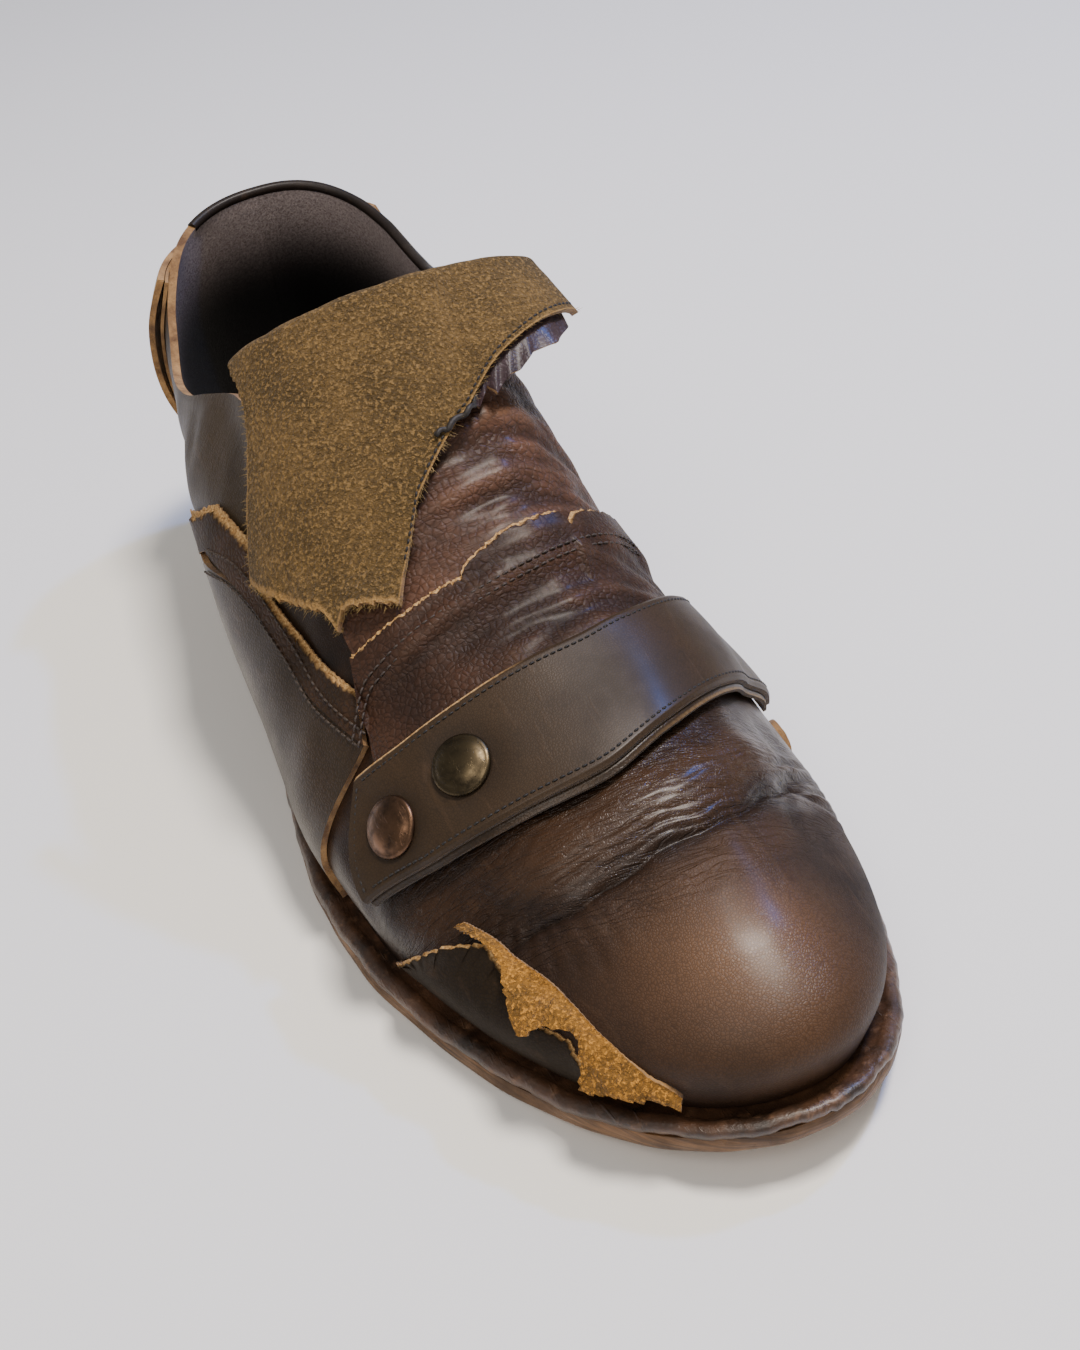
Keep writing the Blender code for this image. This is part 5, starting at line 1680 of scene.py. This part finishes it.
def heel_band(name, reach, low, thick, arch, material):
    ribs = np.linspace(*reach, 100)
    k = np.unique(np.concatenate([np.linspace(0.0, 1.0, 36), 1 - np.linspace(0.0, 0.05, 6)]))[:, None]
    u = HEEL_BAND_HEIGHT[0] + (HEEL_BAND_HEIGHT[1] - HEEL_BAND_HEIGHT[0]) * k
    g, u = np.broadcast_arrays(ribs[None, :], u)
    g = g + 0.003 * np.sin(k * 9.0) * np.clip((g - 0.05) / 0.08, 0.0, 1.0)
    wave = 0.0004 * np.sin(ribs * 90.0)[None, :] * np.sin(math.pi * k)
    lift = low + arch * np.sin(math.pi * k) ** 0.8 + wave
    lip = 1 - ease(0.02, 0.03, 1 - k)
    ends_lip = ease(reach[1] - 0.005, reach[1] - 0.003, g)
    masks = plain_masks(g, u, olive=0.5, raw=np.maximum(lip, ends_lip))
    return leather_sheet(name, g, u, lift, lift + thick, [material, RAW_EDGE, RAW_EDGE], masks)


back_reach = (HEEL_BAND_REACH[0] - 0.004, HEEL_BAND_REACH[1] + 0.004)
put_on(heel_band("heel_band_back", back_reach, LAP, 0.0009, 0.0004, FOXING_CALF), "strap_leather")
put_on(heel_band("heel_band_leather", HEEL_BAND_REACH, LAP + 0.0011, STRAP, HEEL_ARCH * 0.6, STRAP_CALF),
       "strap_leather", "heel_band")

# Stitches.
# Waxed thread in rows along the seams: two rows on the throat and the side strip, one row near
# each edge of the strap and one along the flap's inner edge.
def thread_material(name, colour):
    made, tree, shader = new_material(name, 0.6)
    spot = place_in(tree)
    twist = noise(tree, spot, 1800.0)
    tone = blend(tree, spread(tree, twist, 0.35, 0.65), colour, dim(colour, 0.5))
    finish_surface(tree, shader, tone, None, [(twist, 0.0001)])
    return made


# pitch and thickness of the stitches
STRAP_STITCH = (0.0017, 0.00055)
SEAM_STITCH = (0.0021, 0.0006)
FLAP_STITCH = (0.0018, 0.0006)
DARK_THREAD = thread_material("dark thread", paint(66, 54, 46))
BLACK_THREAD = thread_material("black thread", paint(30, 26, 24))
# share of a thread's thickness that lies in the leather
SINK = 0.35


def stitches(name, line, up, pitch, thick, material, slot):
    """Short rounded stitches along a line of points, as one joined mesh."""
    steps = np.linalg.norm(np.diff(line, axis=0), axis=1)
    run = np.concatenate([[0.0], np.cumsum(steps)])
    points = []
    faces = []
    shape = ((-0.40, 0.0, 0.25), (-0.30, 0.55, 0.8), (0.0, 1.0, 1.0), (0.30, 0.55, 0.8), (0.40, 0.0, 0.25))
    for i in range(int(run[-1] / pitch)):
        at = (i + 0.5) * pitch
        middle = np.array([np.interp(at, run, line[:, axis]) for axis in range(3)])
        ahead = np.array([np.interp(at + 0.0003, run, line[:, axis]) for axis in range(3)]) - middle
        ahead /= np.linalg.norm(ahead)
        rise = np.array([np.interp(at, run, up[:, axis]) for axis in range(3)])
        aside = np.cross(ahead, rise)
        faces += sleeve(len(shape), 6, first=len(points))
        for along, lifted, wide in shape:
            centre = middle + ahead * along * pitch + rise * thick * (lifted * 0.5 - SINK)
            points += circle(centre, aside, rise, thick / 2 * wide, 6)
    return put_on(add_object(name, points, faces, [material], sharp=80.0), slot)


def stitch_row(name, g, u, lift, pitch, thick, material, slot):
    """Stitches along a line on the last, as g and u."""
    return stitches(name, skin(g, u, lift), outward(g, u), pitch, thick, material, slot)


def between(table, row_share, share):
    """A line that lies at one share between the two edges of a piece."""
    g = curve(table, 1, share) * (1 - row_share) + curve(table, 3, share) * row_share
    u = curve(table, 2, share) * (1 - row_share) + curve(table, 4, share) * row_share
    return g, u


STRAP_FACE = STRAP_TOP + STRAP
share = np.linspace(0.03, 0.985, 160)
for label, row_share in (("rear", 0.075), ("front", 0.935)):
    g, u = between(STRAP_PIECE, row_share, share)
    crown = 0.0005 * math.sin(math.pi * row_share)
    lift = STRAP_FACE + crown - strap_drop(share)
    stitch_row("strap_stitches_" + label, g, u, lift, *STRAP_STITCH, BLACK_THREAD, "strap_leather")
k = np.linspace(0.08, 0.93, 60)
g = 0.6968 + 0.075 * k
u = -0.588 - 0.157 * k - 0.030 * np.sin(math.pi * k)
stitch_row("strap_stitches_end", g, u, STRAP_FACE + 0.0001, *STRAP_STITCH, BLACK_THREAD, "strap_leather")

# share of the way along a seam, and its g and u
THROAT_SEAM = (
    (0.00, 0.672, -0.560),
    (0.12, 0.650, -0.440),
    (0.30, 0.650, -0.310),
    (0.50, 0.652, -0.150),
    (0.70, 0.645, 0.080),
    (0.85, 0.632, 0.300),
    (1.00, 0.612, 0.560),
)
SIDE_SEAM = (
    (0.00, 0.420, -0.830),
    (0.20, 0.470, -0.752),
    (0.45, 0.519, -0.694),
    (0.62, 0.564, -0.653),
    (0.80, 0.604, -0.628),
    (1.00, 0.676, -0.550),
)
for row, offset in enumerate((0.0, 0.0065)):
    share = np.linspace(0.0, 1.0, 160)
    g = curve(THROAT_SEAM, 1, share) + offset
    stitch_row("throat_stitches_%d" % row, g, curve(THROAT_SEAM, 2, share), 0.0042 - 0.0006 * row,
               *SEAM_STITCH, DARK_THREAD, "tongue_leather")
    g = curve(SIDE_SEAM, 1, share) - offset * 0.3
    stitch_row("side_stitches_%d" % row, g, curve(SIDE_SEAM, 2, share) + 0.022 - offset * 6.0, 0.0022,
               *SEAM_STITCH, DARK_THREAD, "upper_leather")

# the flap's border on its inner edge, from the hem's corner up to the end of the fold
share = np.linspace(0.49, 0.985, 160)
near_hem = 1 - 1.7 / np.interp(share, (0.48, 0.6, 0.7, 0.8, 0.9, 1.0), (52.0, 45.0, 36.0, 27.0, 20.0, 15.0))
outer = FOLD_EASE / 2 + FLAP
line = flap_point(share, near_hem, outer)
inside = flap_point(share, near_hem - 0.05, outer)
ahead = np.gradient(line, axis=0)
up = np.cross(inside - line, ahead)
up /= np.linalg.norm(up, axis=1, keepdims=True)
up *= np.sign((up * outward(*flap_chart(share, near_hem))).sum(axis=1, keepdims=True))
stitches("flap_stitches", line, up, *FLAP_STITCH, BLACK_THREAD, "suede")

# Loose ends.
# A dark tack thread knotted through the flap's edge, the shiny strip of the tongue's own edge
# that shows beside it, and the fuzz of fibres along the flap's cut edges.
TACK_THREAD = thread_material("tack thread", paint(40, 34, 30))
tack = np.concatenate([
    flap_point(np.array((0.640, 0.655, 0.675)), np.array((0.86, 0.90, 0.95)), outer + 0.0007),
    flap_point(np.array((0.700, 0.720)), np.array((1.00, 1.03)), outer + 0.0004),
    flap_point(np.array((0.735, 0.745)), np.array((1.05, 1.04)), outer - 0.0010),
])
knots = np.linspace(0.0, 1.0, len(tack))
fine = np.linspace(0.0, 1.0, 40)
smooth_tack = np.stack([
    curve(np.column_stack([knots, tack]), column, fine) + 0.0003 * np.sin(fine * 25.0 + column)
    for column in (1, 2, 3)
], axis=-1)
put_on(tube("tack_thread", smooth_tack, 0.0006 * (0.7 + 0.5 * np.sin(math.pi * fine)), TACK_THREAD), "suede")

TONGUE_EDGE_STRIP = calf("tongue edge strip", (78, 62, 66), (46, 36, 38), (120, 100, 98), 900.0,
                         0.1, 0.1, 0.40, 0.15)
# share along the flap's edge, how far the strip reaches past it at its two edges (shares of k)
EDGE_STRIP = (
    (0.00, 0.735, 0.96, 0.740, 1.03),
    (0.14, 0.762, 0.96, 0.762, 1.16),
    (0.26, 0.785, 0.96, 0.790, 1.12),
    (0.38, 0.815, 0.96, 0.812, 1.30),
    (0.52, 0.845, 0.96, 0.842, 1.27),
    (0.60, 0.865, 0.96, 0.868, 1.34),
    (0.72, 0.890, 0.96, 0.892, 1.28),
    (0.84, 0.925, 0.96, 0.930, 1.35),
    (1.00, 0.965, 0.96, 0.962, 1.20),
)


def edge_strip():
    share, k, along, across = lattice(EDGE_STRIP, 70, 12, torn=True)
    rise = FOLD_EASE / 2 - 0.0006 - 0.0006 * across + 0.0004 * np.sin(along * 40.0) * across
    return free_sheet("tongue_edge_strip", flap_point(share, k, rise), flap_point(share, k, rise - 0.0008),
                      [TONGUE_EDGE_STRIP, RAW_EDGE, TONGUE_EDGE_STRIP], plain_masks(*flap_chart(share, k)),
                      sharp=70.0)


put_on(edge_strip(), "tongue_leather")


def fuzz(name, roots, ways, length, thick, material, slot, seed):
    """Fine curved hairs that start at the roots and grow the given ways, as one mesh."""
    random = np.random.default_rng(seed)
    points = []
    faces = []
    for root, way in zip(roots, ways):
        size = length * random.uniform(0.4, 1.2)
        bend = random.normal(0.0, 0.45, 3)
        path = [root + way * size * t + bend * size * t * t for t in (0.0, 0.35, 0.7, 1.0)]
        aside = np.cross(way, (0.3, 0.2, 0.9))
        aside /= np.linalg.norm(aside)
        rise = np.cross(way, aside)
        faces += sleeve(len(path), 3, first=len(points))
        for i, spot in enumerate(path):
            points += circle(spot, aside, rise, thick * (1 - 0.22 * i) / 2, 3)
    return put_on(add_object(name, points, faces, [material], sharp=80.0), slot)


def edge_fuzz(name, share, k, count, seed):
    """Hairs along a line of the flap, given by its shares."""
    random = np.random.default_rng(seed)
    at = np.sort(random.uniform(0.0, 1.0, count))
    shares = np.interp(at, np.linspace(0, 1, len(share)), share)
    ks = np.interp(at, np.linspace(0, 1, len(k)), k)
    radius = FOLD_EASE / 2 + FLAP * random.uniform(0.1, 1.0, count)
    roots = flap_point(shares, ks, radius)
    centre = flap_point(np.array(0.5), np.array(0.45), FLAP)
    ways = roots - centre
    ways += outward(*flap_chart(shares, ks)) * 0.5 * np.linalg.norm(ways, axis=1, keepdims=True)
    ways /= np.linalg.norm(ways, axis=1, keepdims=True)
    fuzz(name, roots, ways, 0.0011, 0.00012, FIBRE, "suede", seed + 1)


FIBRE = thread_material("suede fibre", paint(168, 140, 88))
edge_fuzz("flap_fuzz_outer", np.array((0.0, 0.0)), np.array((0.30, 1.0)), 300, 11)
edge_fuzz("flap_fuzz_hem", np.array((0.0, 0.47)), np.array((1.0, 1.0)), 460, 23)
edge_fuzz("flap_fuzz_inner", np.array((0.48, 1.0)), np.array((1.0, 1.0)), 420, 37)
